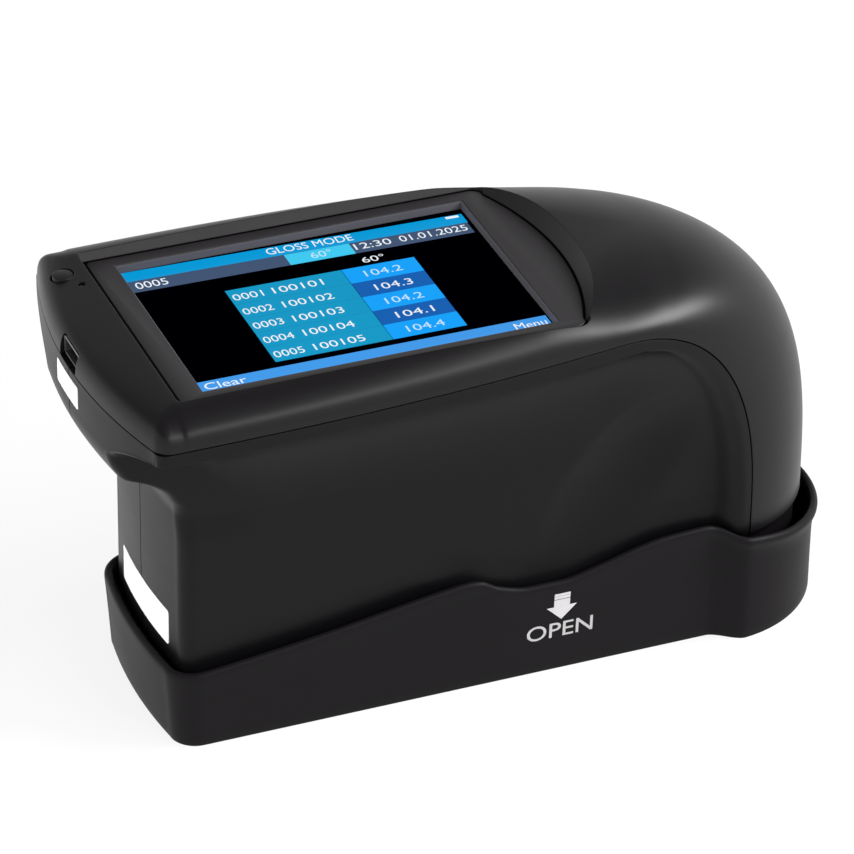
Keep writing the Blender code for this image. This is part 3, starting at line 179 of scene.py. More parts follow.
def mirrored(half: list[Flat]) -> list[Flat]:
    """Closed outline from its near half, which starts and ends on the middle plane."""
    return half + [(x, -y) for x, y in reversed(half[1:-1])]


# Materials.


class Wire:
    """A value socket in a node tree, on which Python's operators add maths nodes."""

    def __init__(self, board: "Board", socket: bpy.types.NodeSocket) -> None:
        """Wrap a socket of a board."""
        self.board = board
        self.socket = socket

    def __add__(self, other: "Value") -> "Wire":
        """Sum with another value."""
        return self.board.maths("ADD", self, other)

    __radd__ = __add__

    def __sub__(self, other: "Value") -> "Wire":
        """Difference from another value."""
        return self.board.maths("SUBTRACT", self, other)

    def __rsub__(self, other: "Value") -> "Wire":
        """Another value less this one."""
        return self.board.maths("SUBTRACT", other, self)

    def __mul__(self, other: "Value") -> "Wire":
        """Product with another value."""
        return self.board.maths("MULTIPLY", self, other)

    __rmul__ = __mul__

    def held(self) -> "Wire":
        """This value kept between 0 and 1."""
        return self.board.maths("ADD", self, 0.0, use_clamp=True)


Value = Union[float, Wire]


class Board:
    """The node tree of one material or world, with short ways to add to it."""

    def __init__(self, name: str, of_world: bool = False) -> None:
        """Start a material or a world with its own shader.

        Args:
            name: the name of the material or world.
            of_world: whether it is a world.
        """
        self.owner = (bpy.data.worlds if of_world else bpy.data.materials).new(name)
        self.owner.use_nodes = True
        self.tree = self.owner.node_tree
        self.shader = self.tree.nodes["Background" if of_world else "Principled BSDF"]
        self.place = self.node("ShaderNodeTexCoord").outputs["Generated" if of_world else "Object"]

    def node(self, kind: str, settings: Optional[dict[str, Any]] = None,
             feeds: Optional[dict[Union[str, int], Any]] = None) -> bpy.types.Node:
        """Add a node.

        Args:
            kind: the node's type.
            settings: its properties, set first; "stops" are a ramp's (position, colour) pairs.
            feeds: values or links for its sockets, by name or number.

        Returns:
            The new node.
        """
        made = self.tree.nodes.new(kind)
        for key, value in (settings or {}).items():
            if key == "stops":
                elements = made.color_ramp.elements
                while len(elements) < len(value):
                    elements.new(1.0)
                for element, (position, colour) in zip(elements, value):
                    element.position, element.color = position, colour
            else:
                setattr(made, key, value)
        for key, value in (feeds or {}).items():
            self.feed(made.inputs[key], value)
        return made

    def feed(self, socket: bpy.types.NodeSocket, value: Any) -> None:
        """Link a socket, or set its value.

        Args:
            socket: the input to feed.
            value: a wire, a socket to link, or a plain value.
        """
        if isinstance(value, Wire):
            value = value.socket
        if isinstance(value, bpy.types.NodeSocket):
            self.tree.links.new(value, socket)
        else:
            socket.default_value = value

    def maths(self, operation: str, first: Value, second: Value, **settings: Any) -> Wire:
        """Maths node on one or two values."""
        made = self.node("ShaderNodeMath", {"operation": operation, **settings}, {0: first, 1: second})
        return Wire(self, made.outputs[0])

    def noise(self, size: float, detail: float = 2.0, stretch: Point = (1.0, 1.0, 1.0)) -> Wire:
        """Smooth noise with patches of about a size, which may be stretched.

        Args:
            size: size of a patch.
            detail: octaves of finer noise.
            stretch: how much longer the patches are along each axis.

        Returns:
            The noise, about 0.5 on average.
        """
        mapped = self.node(
            "ShaderNodeMapping", {}, {"Vector": self.place, "Scale": tuple(1 / s for s in stretch)},
        )
        made = self.node(
            "ShaderNodeTexNoise", {}, {"Vector": mapped.outputs[0], "Scale": 1 / size, "Detail": detail},
        )
        return Wire(self, made.outputs[0])

    def cells(self, size: float) -> Wire:
        """Distance to the nearest of many scattered points, for a moulded grain."""
        made = self.node("ShaderNodeTexVoronoi", {}, {"Vector": self.place, "Scale": 1 / size})
        return Wire(self, made.outputs["Distance"])

    def part(self, axis: str) -> Wire:
        """One coordinate of the place on the surface, or of the way to the sky."""
        made = self.node("ShaderNodeSeparateXYZ", {}, {0: self.place})
        return Wire(self, made.outputs[axis])

    def blend(self, share: Value, low: Any, high: Any) -> bpy.types.NodeSocket:
        """Colour between two colours."""
        made = self.node("ShaderNodeMix", {"data_type": "RGBA"}, {0: share, 6: low, 7: high})
        return made.outputs[2]

    def relief(self, height: Wire, depth: float, strength: float, edge: float = 0.0) -> None:
        """Bump the surface, with its sharp edges rounded.

        Args:
            height: the pattern, from 0 to 1.
            depth: how deep the pattern is.
            strength: share of the bump that shows.
            edge: radius of the rounding on sharp edges.
        """
        bump = self.node("ShaderNodeBump", {}, {"Height": height, "Distance": depth, "Strength": strength})
        if edge:
            rounding = self.node("ShaderNodeBevel", {"samples": 6}, {"Radius": edge})
            self.feed(bump.inputs["Normal"], rounding.outputs[0])
        self.feed(self.shader.inputs["Normal"], bump.outputs[0])

    def set(self, **values: Any) -> None:
        """Set or link sockets of the shader, named with underscores for spaces."""
        for key, value in values.items():
            self.feed(self.shader.inputs[key.replace("_", " ")], value)


@dataclass(frozen=True)
class MouldedPlastic:
    """Dark moulded plastic with a fine spark-eroded grain and faint handling marks."""

    name: str
    colour: Colour
    roughness: float
    specular: float = 0.5
    grain: float = 0.00030
    depth: float = 0.000006
    mottle: float = 0.10
    edge: float = 0.00025

    def make(self) -> bpy.types.Material:
        """Build the material.

        Returns:
            The material.
        """
        board = Board(self.name)
        patches = board.noise(0.018, 3.0)
        streaks = board.noise(0.004, 4.0, (3.0, 3.0, 1.0))
        fine = board.cells(self.grain)
        speck = board.noise(self.grain * 2.2, 1.0)
        shade = (patches * 0.6 + speck * 0.4).held()
        board.set(
            Base_Color=board.blend(
                shade, scaled(self.colour, 1 - self.mottle), scaled(self.colour, 1 + self.mottle)
            ),
            Roughness=(
                (patches - 0.5) * 0.05 + (streaks - 0.5) * 0.06 + (self.roughness + 0.02) - fine * 0.03
            ),
            Specular_IOR_Level=self.specular,
        )
        board.relief(fine * 0.7 + speck * 0.3, self.depth, 0.35, self.edge)
        return board.owner


@dataclass(frozen=True)
class PanelGlass:
    """Smooth dark glass or acrylic with faint finger marks."""

    name: str
    colour: Colour
    roughness: float
    specular: float
    coat: float = 0.0
    edge: float = 0.00015

    def make(self) -> bpy.types.Material:
        """Build the material.

        Returns:
            The material.
        """
        board = Board(self.name)
        smear = board.noise(0.011, 4.0, (1.0, 2.5, 1.0))
        dust = board.noise(0.0004, 1.0)
        board.set(
            Base_Color=board.blend(smear, scaled(self.colour, 0.85), scaled(self.colour, 1.15)),
            Roughness=(smear * smear) * 0.10 + self.roughness,
            Specular_IOR_Level=self.specular,
            Coat_Weight=self.coat,
        )
        board.relief(dust, 0.000002, 0.15, self.edge)
        return board.owner


@dataclass(frozen=True)
class TurnedMetal:
    """Bare or plated metal with fine tool marks."""

    name: str
    colour: Colour
    roughness: float
    brushed: Point = (1.0, 1.0, 6.0)
    edge: float = 0.00008

    def make(self) -> bpy.types.Material:
        """Build the material.

        Returns:
            The material.
        """
        board = Board(self.name)
        marks = board.noise(0.00025, 3.0, self.brushed)
        tarnish = board.noise(0.0030, 3.0)
        board.set(
            Base_Color=board.blend(tarnish, scaled(self.colour, 0.82), self.colour),
            Metallic=1.0,
            Roughness=marks * 0.16 + tarnish * 0.10 + (self.roughness - 0.10),
        )
        board.relief(marks, 0.000004, 0.4, self.edge)
        return board.owner


@dataclass(frozen=True)
class ScreenGlow:
    """Lit area of the screen, even but for the backlight's slow fall-off."""

    name: str
    colour: Colour
    strength: float = 1.0

    def make(self) -> bpy.types.Material:
        """Build the material.

        Returns:
            The material.
        """
        board = Board(self.name)
        cloud = board.noise(0.030, 1.0)
        across = board.part("X")
        lines = board.maths("PINGPONG", across * 4000.0, 1.0)
        share = (cloud * 0.8 + lines * 0.2).held()
        board.set(
            Base_Color=(0.0, 0.0, 0.0, 1.0),
            Roughness=cloud * 0.05 + 0.30,
            Specular_IOR_Level=0.06,
            Emission_Color=board.blend(share, scaled(self.colour, 0.94), scaled(self.colour, 1.06)),
            Emission_Strength=self.strength,
        )
        return board.owner


@dataclass(frozen=True)
class Paper:
    """Matt white label stock, a little uneven."""

    name: str
    colour: Colour

    def make(self) -> bpy.types.Material:
        """Build the material.

        Returns:
            The material.
        """
        board = Board(self.name)
        fibre = board.noise(0.00035, 4.0, (1.0, 2.0, 1.0))
        stain = board.noise(0.009, 2.0)
        board.set(
            Base_Color=board.blend(
                (fibre * 0.5 + stain * 0.5).held(), scaled(self.colour, 0.90), self.colour
            ),
            Roughness=fibre * 0.15 + 0.50,
            Specular_IOR_Level=0.3,
        )
        board.relief(fibre, 0.000008, 0.3)
        return board.owner


@dataclass(frozen=True)
class PrintInk:
    """Screen-printed ink that lets a little of the plastic's grain through."""

    name: str
    colour: Colour

    def make(self) -> bpy.types.Material:
        """Build the material.

        Returns:
            The material.
        """
        board = Board(self.name)
        thin = board.noise(0.00020, 3.0)
        fine = board.cells(0.00030)
        board.set(
            Base_Color=board.blend(thin, scaled(self.colour, 0.84), scaled(self.colour, 1.04)),
            Roughness=thin * 0.12 + 0.44,
            Specular_IOR_Level=0.3,
        )
        board.relief(fine, 0.000005, 0.3)
        return board.owner


@dataclass(frozen=True)
class CircuitBoard:
    """Solder mask with tracks under it."""

    name: str
    colour: Colour

    def make(self) -> bpy.types.Material:
        """Build the material.

        Returns:
            The material.
        """
        board = Board(self.name)
        tracks = board.node(
            "ShaderNodeTexBrick", {"offset": 0.35},
            {"Vector": board.place, "Scale": 160.0, "Mortar Size": 0.03, "Color1": (0, 0, 0, 1),
             "Color2": (0.1, 0.1, 0.1, 1), "Mortar": (1, 1, 1, 1)},
        )
        lane = Wire(board, tracks.outputs["Fac"])
        cloth = board.noise(0.0006, 2.0)
        board.set(
            Base_Color=board.blend(lane, self.colour, scaled(self.colour, 1.7)),
            Roughness=cloth * 0.12 + 0.34,
        )
        board.relief((lane * 0.8 + cloth * 0.2).held(), 0.000020, 0.5, 0.0001)
        return board.owner


@dataclass(frozen=True)
class ShrinkWrap:
    """Printed film shrunk on a battery."""

    name: str
    colour: Colour

    def make(self) -> bpy.types.Material:
        """Build the material.

        Returns:
            The material.
        """
        board = Board(self.name)
        folds = board.noise(0.004, 3.0, (4.0, 1.0, 1.0))
        board.set(
            Base_Color=board.blend(folds, scaled(self.colour, 0.8), scaled(self.colour, 1.2)),
            Roughness=folds * 0.20 + 0.22,
            Coat_Weight=0.2,
        )
        board.relief(folds, 0.00010, 0.4, 0.0004)
        return board.owner


@dataclass(frozen=True)
class ClearLens:
    """Ground and polished lens glass."""

    name: str

    def make(self) -> bpy.types.Material:
        """Build the material.

        Returns:
            The material.
        """
        board = Board(self.name)
        haze = board.noise(0.002, 2.0)
        board.set(
            Base_Color=board.blend(haze, (0.86, 0.90, 0.92, 1), (0.92, 0.95, 0.96, 1)),
            Roughness=haze * 0.03 + 0.01,
            IOR=1.52,
            Transmission_Weight=0.9,
        )
        board.relief(haze, 0.000002, 0.1)
        return board.owner


# Mesh tools.


class Form:
    """A mesh being shaped, kept in a bmesh until it is finished as a piece."""

    def __init__(self) -> None:
        """Start an empty form."""
        self.bm = bmesh.new()

    @classmethod
    def skin(cls, rows: Sequence[Sequence[Point]], capped: bool = True) -> "Form":
        """Closed skin over rings of points, bent from a flat grid.

        Args:
            rows: closed rings, all with the same number of points.
            capped: whether the first and last ring are filled.

        Returns:
            The form.
        """
        form = cls()
        columns = len(rows[0]) + 1
        bmesh.ops.create_grid(form.bm, x_segments=columns - 1, y_segments=len(rows) - 1, size=1)
        form.bm.verts.ensure_lookup_table()
        for r, row in enumerate(rows):
            for c in range(columns):
                form.bm.verts[r * columns + c].co = row[c % len(row)]
        bmesh.ops.remove_doubles(form.bm, verts=form.bm.verts, dist=0.000001)
        if capped:
            open_edges = [e for e in form.bm.edges if e.is_boundary]
            bmesh.ops.holes_fill(form.bm, edges=open_edges, sides=0)
        return form.outward()

    @classmethod
    def block(cls, low: Point, high: Point, round_edges: float = 0.0, segments: int = 3) -> "Form":
        """Block between two corners, with rounded edges if asked.

        Args:
            low: the lower corner.
            high: the upper corner.
            round_edges: radius of all its edges.
            segments: faces across a rounded edge.

        Returns:
            The form.
        """
        form = cls()
        bmesh.ops.create_cube(form.bm, size=1)
        size = Vector(high) - Vector(low)
        bmesh.ops.scale(form.bm, vec=size, verts=form.bm.verts)
        bmesh.ops.translate(form.bm, vec=(Vector(low) + Vector(high)) / 2, verts=form.bm.verts)
        if round_edges:
            form.bevel(form.bm.edges, round_edges, segments)
        return form

    @classmethod
    def prism(cls, outline: Sequence[Flat], low: float, high: float) -> "Form":
        """Upright solid from a flat outline."""
        return cls.skin([[(x, y, z) for x, y in outline] for z in (low, high)])

    @classmethod
    def side_prism(cls, profile: Sequence[Flat], low: float, high: float) -> "Form":
        """Solid from a side profile of (x, z) points between two places across."""
        return cls.skin([[(x, y, z) for x, z in profile] for y in (low, high)])

    @classmethod
    def turned(cls, profile: Sequence[Flat], steps: int = 64) -> "Form":
        """Turned solid about the Z axis, from a profile of (radius, z).

        Args:
            profile: the points (radius, z), from axis to axis.
            steps: faces round the axis.

        Returns:
            The form.
        """
        form = cls()
        verts = [form.bm.verts.new((r, 0.0, z)) for r, z in profile]
        edges = [form.bm.edges.new(pair) for pair in zip(verts, verts[1:])]
        bmesh.ops.spin(
            form.bm, geom=verts + edges, cent=(0, 0, 0), axis=(0, 0, 1), angle=math.tau, steps=steps,
            use_merge=True,
        )
        bmesh.ops.remove_doubles(form.bm, verts=form.bm.verts, dist=0.000001)
        return form.outward()

    @classmethod
    def pin(cls, radius: float, low: float, high: float, steps: int) -> "Form":
        """Round pin about the Z axis between two heights."""
        return cls.turned([(0, high), (radius, high), (radius, low), (0, low)], steps)

    def outward(self) -> "Form":
        """Turn all faces outward."""
        bmesh.ops.recalc_face_normals(self.bm, faces=self.bm.faces)
        return self

    def bevel(self, edges: Iterable[bmesh.types.BMEdge], radius: float, segments: int = 3) -> "Form":
        """Round some edges.

        Args:
            edges: the edges.
            radius: how far back the rounding starts.
            segments: faces across it.

        Returns:
            The form itself.
        """
        bmesh.ops.bevel(
            self.bm, geom=list(edges), offset=radius, offset_type="OFFSET", segments=segments, profile=0.5,
            affect="EDGES", material=-1, clamp_overlap=True,
        )
        return self

    def edges_where(self, test: Callable[[Vector], bool], angle: float = 30.0) -> list[bmesh.types.BMEdge]:
        """Sharp edges whose two ends both pass a test.

        Args:
            test: says whether a point counts.
            angle: least angle between an edge's faces, in degrees.

        Returns:
            The edges.
        """
        self.bm.normal_update()
        return [
            e for e in self.bm.edges
            if len(e.link_faces) == 2 and e.calc_face_angle(0.0) > math.radians(angle)
            and all(test(v.co) for v in e.verts)
        ]

    def lengthwise(self) -> list[bmesh.types.BMEdge]:
        """Edges that run along X for more than a millimetre."""
        return [e for e in self.bm.edges if abs(e.verts[0].co.x - e.verts[1].co.x) > 0.001]

    def moved(self, matrix: Matrix) -> "Form":
        """Move, turn or scale the form."""
        bmesh.ops.transform(self.bm, matrix=matrix, verts=self.bm.verts)
        return self

    def stand_in(self, name: str) -> bpy.types.Object:
        """Temporary object of this form, for a boolean.

        Args:
            name: the object's name.

        Returns:
            The object, in the scene.
        """
        mesh = bpy.data.meshes.new(name)
        self.bm.to_mesh(mesh)
        obj = bpy.data.objects.new(name, mesh)
        bpy.context.scene.collection.objects.link(obj)
        return obj

    def combine(self, other: "Form", cut: Cut) -> "Form":
        """Join with another form, trim to it or cut it away; the other form is used up.

        Args:
            other: the other form.
            cut: how the two are combined.

        Returns:
            The form itself.
        """
        target, tool = self.stand_in("target"), other.stand_in("tool")
        modifier = target.modifiers.new("cut", "BOOLEAN")
        modifier.operation = cut.value
        modifier.solver = "EXACT"
        modifier.object = tool
        bpy.context.view_layer.update()
        result = bpy.data.meshes.new_from_object(target.evaluated_get(bpy.context.evaluated_depsgraph_get()))
        self.bm.clear()
        self.bm.from_mesh(result)
        other.bm.free()
        for mesh in (target.data, tool.data, result):
            bpy.data.meshes.remove(mesh)
        return self

    def without(self, *others: "Form") -> "Form":
        """Cut other forms away.

        Args:
            others: the forms to cut away, which are used up.

        Returns:
            The form itself.
        """
        for other in others:
            self.combine(other, Cut.AWAY)
        return self

    def piece(self, name: str, material: bpy.types.Material, body: Body, slot: str = "",
              stands_for: Sequence[str] = (), angle: float = 32.0) -> bpy.types.Object:
        """Finish the form as a piece that rides on a body.

        Args:
            name: the piece's name.
            material: its finish.
            body: the body that it moves with.
            slot: the material slot in the record, if it has one; not used.
            stands_for: nodes of the part that it replaces.
            angle: edges sharper than this stay sharp.

        Returns:
            The piece's object.
        """
        mesh = bpy.data.meshes.new(name)
        self.bm.to_mesh(mesh)
        self.bm.free()
        mesh.shade_smooth()
        mesh.set_sharp_from_angle(angle=math.radians(angle))
        mesh.materials.append(material)
        obj = bpy.data.objects.new(name, mesh)
        bpy.context.scene.collection.objects.link(obj)
        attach(obj, body.value)
        if stands_for:
            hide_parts(*stands_for)
        LOG.info("%s: %d faces", name, len(mesh.polygons))
        return obj


# Shared sizes.


@dataclass(frozen=True)
class BodyForm:
    """Sizes and curves that the meter's shells and its base share."""

    gap: float = 0.0003
    base_front_x: float = -0.06885
    base_half_width: float = 0.0229
    base_wall: float = 0.0015
    body_clearance: float = 0.0006
    parting_z: float = 0.0806
    parting_bend_x: float = 0.02265
    parting_foot_x: float = 0.05695
    parting_bend_z: float = 0.0330
    parting_power: float = 2.3
    head_end_x: float = -0.08135
    head_half_width: float = 0.0375
    head_arc_radius: float = 0.119
    head_corner: float = 0.0025
    taper_power: float = 2.4
    spine_center_x: float = 0.05205
    spine_radius: float = 0.0250
    spine_foot_z: float = 0.0250
    spine_foot_depth: float = 0.0012
    spine_foot_fade: float = 0.0025
    foot_z: float = 0.0060
    step_run: float = 0.0065
    step_land: float = 0.0015
    rim: tuple[Flat, ...] = (
        (-0.0700, 0.0176), (-0.0658, 0.0179), (-0.0526, 0.0193), (-0.0355, 0.0216), (-0.0204, 0.0241),
        (-0.0117, 0.0255), (-0.0052, 0.0262), (-0.0026, 0.0259), (0.0015, 0.0237), (0.0080, 0.0221),
        (0.0148, 0.0221), (0.0236, 0.0239), (0.0324, 0.0263), (0.0380, 0.0273), (0.0470, 0.0277),
        (0.0500, 0.0271), (0.0540, 0.0255), (0.0600, 0.0244), (0.0660, 0.0231), (0.0720, 0.0220),
        (0.0770, 0.0209), (0.0815, 0.0203),
    )

    @property
    def neck_front_x(self) -> float:
        """Front of the neck."""
        return self.base_front_x + self.base_wall + self.gap

    @property
    def grip_half_width(self) -> float:
        """Half-width of the grip's flat sides."""
        return self.base_half_width - self.base_wall - self.body_clearance

    @property
    def bow(self) -> float:
        """Curvature of the head's end face in plan."""
        return 1 / (2 * self.head_arc_radius)

    @property
    def spine_half_width(self) -> float:
        """Half-width of the spine where it meets the lower housing."""
        return math.sqrt(self.spine_radius ** 2 - (self.parting_foot_x - self.spine_center_x) ** 2)

    @property
    def spine_turn(self) -> float:
        """Angle of the spine's arc on each side."""
        return math.acos((self.parting_foot_x - self.spine_center_x) / self.spine_radius)

    def half_width(self, x: float) -> float:
        """Half-width of the body at the parting line.

        Args:
            x: place along the body.

        Returns:
            The half-width.
        """
        start = self.head_end_x + self.head_corner
        t = min(1.0, max(0.0, (x - start) / (self.parting_foot_x - start)))
        spread = self.head_half_width - self.spine_half_width
        return self.spine_half_width + spread * (1 - t ** self.taper_power)

    def parting_at(self, angle: float, inset: float = 0.0) -> Flat:
        """Point (x, z) of the parting curve at an angle, moved inward by an inset.

        Args:
            angle: 0 where the curve leaves the foot, 90 degrees under the head.
            inset: how far inside the curve.

        Returns:
            The point.
        """
        return quarter_curve(
            (self.parting_bend_x, self.parting_bend_z),
            (self.parting_foot_x - self.parting_bend_x - inset, self.parting_z - self.parting_bend_z - inset),
            self.parting_power, angle,
        )

    def parting_x(self, z: float) -> float:
        """Place of the parting curve at a height.

        Args:
            z: the height.

        Returns:
            The place along the body.
        """
        share = min(1.0, max(0.0, (z - self.parting_bend_z) / (self.parting_z - self.parting_bend_z)))
        run = self.parting_foot_x - self.parting_bend_x
        return self.parting_bend_x + run * (1 - share ** self.parting_power) ** (1 / self.parting_power)

    def parting_height(self, x: float) -> float:
        """Height of the parting curve at a place along the body.

        Args:
            x: place along the body.

        Returns:
            The height.
        """
        run = self.parting_foot_x - self.parting_bend_x
        share = min(1.0, max(0.0, (x - self.parting_bend_x) / run))
        rise = self.parting_z - self.parting_bend_z
        return self.parting_bend_z + rise * (1 - share ** self.parting_power) ** (1 / self.parting_power)

    def foot_inset(self, z: float) -> float:
        """How far the spine draws in above the base's rim."""
        return self.spine_foot_depth * smoothstep((self.spine_foot_z - z) / self.spine_foot_fade)

    def rim_height(self, x: float) -> float:
        """Height of the base's wavy rim."""
        return along(self.rim, x)


def quarter_curve(center: Flat, radii: Flat, power: float, angle: float) -> Flat:
    """Point of a squared-off ellipse, from its side at angle 0 to its top at 90 degrees.

    Args:
        center: (x, z) of the ellipse's centre.
        radii: its reach along x and z.
        power: 2 for an ellipse, and more for a squarer curve.
        angle: place on the curve.

    Returns:
        The point (x, z).
    """
    c = max(math.cos(angle), 0.0) ** (2 / power)
    s = max(math.sin(angle), 0.0) ** (2 / power)
    return center[0] + radii[0] * c, center[1] + radii[1] * s


FORM = BodyForm()


# Base.


@dataclass(frozen=True)
class Tray:
    """Base tray with a wavy rounded lip and a bulged round end."""

    front_radius: float = 0.117
    corner_radius: float = 0.0055
    end_x: float = 0.05335
    end_radius: float = 0.0268
    flare: float = 0.0012
    end_flare: float = 0.0010
    floor: float = 0.0022
    lip: float = 0.0009
    edge: float = 0.0003
    step_start: float = 0.0486
    step_end: float = 0.0561
    pilot_radius: float = 0.0013
    pilot_depth: float = 0.00135
    least_corner: float = 0.0012
    end_blend: Flat = (-0.010, 0.015)
    knee: float = 0.45
    shoulder: Flat = (0.0045, 0.78)
    lip_foot: float = 1.4
    spans: tuple[int, ...] = (10, 14, 110, 16, 32)

    def outline(self, inset: float) -> list[Flat]:
        """Closed plan outline, moved inward by an inset.

        Args:
            inset: how far inside the outer wall.

        Returns:
            The points (x, y).
        """
        front, width = FORM.base_front_x + inset, FORM.base_half_width - inset
        radius = self.end_radius - inset
        corner = max(self.corner_radius - inset, self.least_corner)
        fronts, corners, sides, steps, ends = self.spans
        bow = 1 / (2 * self.front_radius)
        flat = width - corner
        corner_x = front + bow * flat ** 2
        points = [(front + bow * (flat * i / fronts) ** 2, -flat * i / fronts) for i in range(fronts)]
        for i in range(corners + 1):
            angle = math.pi / 2 * i / corners
            points.append((corner_x + corner * (1 - math.cos(angle)), -flat - corner * math.sin(angle)))
        side_x = corner_x + corner
        points += [(side_x + (self.step_start - side_x) * i / sides, -width) for i in range(1, sides + 1)]
        full = math.sqrt(radius ** 2 - (self.step_end - self.end_x) ** 2)
        for i in range(1, steps + 1):
            t = i / steps
            x = self.step_start + (self.step_end - self.step_start) * t
            points.append((x, -width - (full - width) * smoothstep(t)))
        begin = math.asin(full / radius)
        for i in range(1, ends + 1):
            angle = begin * (1 - i / ends)
            points.append((self.end_x + radius * math.cos(angle), -radius * math.sin(angle)))
        return mirrored(points)

    def ring(self, inset: float, end_inset: float, height: Callable[[float], float]) -> list[Point]:
        """Ring whose inset differs on the round end, at a height for each place.

        Args:
            inset: inset of the straight part.
            end_inset: inset of the round end.
            height: gives the height for each place along the part.

        Returns:
            The ring's points.
        """
        points = []
        start, run = self.step_start + self.end_blend[0], self.end_blend[1]
        for (front_x, front_y), (end_x, end_y) in zip(self.outline(inset), self.outline(end_inset)):
            t = smoothstep((front_x - start) / run)
            x, y = front_x + (end_x - front_x) * t, front_y + (end_y - front_y) * t
            points.append((x, y, height(x)))
        return points

    def side_y(self, x: float, z: float) -> float:
        """Place across of the flat near side's outer face at a height.

        Args:
            x: place along the part.
            z: the height.

        Returns:
            The place across.
        """
        rim = FORM.rim_height(x)
        drop, share = self.shoulder
        stations = (
            (self.edge, 0.0), (self.knee * rim, self.knee * self.flare), (rim - drop, share * self.flare),
            (rim - self.lip * self.lip_foot, self.flare),
        )
        return -FORM.base_half_width - along(stations, z)

    def form(self) -> Form:
        """Shape the tray.

        Returns:
            The form, without the screws' pilots.
        """
        rim, lip, wall = FORM.rim_height, self.lip, FORM.base_wall
        out, end = -self.flare, -self.end_flare
        drop, share = self.shoulder
        foot = [
            self.ring(self.edge, self.edge, lambda x: 0.0),
            self.ring(self.edge * 0.3, self.edge * 0.3, lambda x: self.edge * 0.3),
            self.ring(0.0, 0.0, lambda x: self.edge),
        ]
        outside = [
            foot[-1],
            self.ring(out * self.knee, 0.0, lambda x: self.knee * rim(x)),
            self.ring(out * share, end * 0.15, lambda x: rim(x) - drop),
            self.ring(out, end, lambda x: rim(x) - lip * self.lip_foot),
            # The lip rolls over the rim and ends on the wall's inner side.
            self.ring(out + lip * 0.25, end + lip * 0.25, lambda x: rim(x) - lip * 0.35),
            self.ring(out + lip, end + lip, rim),
            self.ring(out + lip * 1.8, end + lip * 1.7, lambda x: rim(x) - lip * 0.5),
            self.ring(wall * 0.6, wall * 0.6, lambda x: rim(x) - lip * 1.6),
        ]
        inside = [
            self.ring(wall, wall, lambda x: self.floor + self.edge),
            self.ring(wall + self.edge, wall + self.edge, lambda x: self.floor),
        ]
        return Form.skin(foot[:-1] + eased(outside, 4) + inside)

    def build(self, finish: bpy.types.Material) -> None:
        """Make the tray with its screw pilots.

        Args:
            finish: its finish.
        """
        tray = self.form()
        for x in Tile().screw_places():
            pilot = Form.pin(self.pilot_radius, -self.pilot_depth, 0.001, 24)
            tray.without(pilot.moved(Matrix.Translation((x, 0, self.floor))))
        tray.piece("tray", finish, Body.BASE, "base", ("base_tray",))


@dataclass(frozen=True)
class Tile:
    """Black glass calibration tile, its holder's screws and the aperture's place."""

    aperture_x: float = -0.0050
    length: float = 0.031
    margin: float = 0.009
    head_radius: float = 0.0021
    head_height: float = 0.0011
    shank_radius: float = 0.0010
    ground_edge: float = 0.0003

    def screw_places(self) -> tuple[float, float]:
        """Places along the part of the two screws of the holder."""
        reach = self.length / 2 + self.margin / 2
        return self.aperture_x - reach, self.aperture_x + reach

    def build(self, glass: bpy.types.Material, steel: bpy.types.Material) -> None:
        """Make the tile with its ground edges, and the screws.

        Args:
            glass: the tile's finish.
            steel: the screws' finish.
        """
        low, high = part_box("calibration_tile")
        Form.block(tuple(low), tuple(high), self.ground_edge).piece(
            "tile", glass, Body.BASE, "black_glass", ("calibration_tile",)
        )
        for number, x in enumerate(self.screw_places(), 1):
            bottom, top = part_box(f"tile_screw_{number}")
            screw = Screw(self.head_radius, self.head_height, self.shank_radius, top.z - bottom.z)
            screw.form().moved(Matrix.Translation((x, 0, top.z))).piece(
                f"holder_screw_{number}", steel, Body.BASE, "steel", (f"tile_screw_{number}",)
            )


@dataclass(frozen=True)
class Screw:
    """Cross-head screw, upright, with its head's top at height 0."""

    head_radius: float
    head_height: float
    shank_radius: float
    length: float
    soft_share: float = 0.22
    point_length: float = 0.0003
    point_share: float = 0.7
    cross: Flat = (0.58, 0.13)
    cross_depth: float = 0.6

    def form(self) -> Form:
        """Shape the screw.

        Returns:
            The form.
        """
        r, h, soft = self.head_radius, self.head_height, self.head_radius * self.soft_share
        profile = [
            (0.0, 0.0), (r - soft, 0.0), (r - soft * 0.45, -soft * 0.12), (r, -soft * 0.6), (r, -h),
            (self.shank_radius, -h), (self.shank_radius, self.point_length - self.length),
            (self.shank_radius * self.point_share, -self.length), (0.0, -self.length),
        ]
        screw = Form.turned(profile, 40)
        reach, half = r * self.cross[0], r * self.cross[1]
        for x, y in ((reach, half), (half, reach)):
            screw.without(Form.block((-x, -y, -h * self.cross_depth), (x, y, h)))
        return screw


# Top cover.


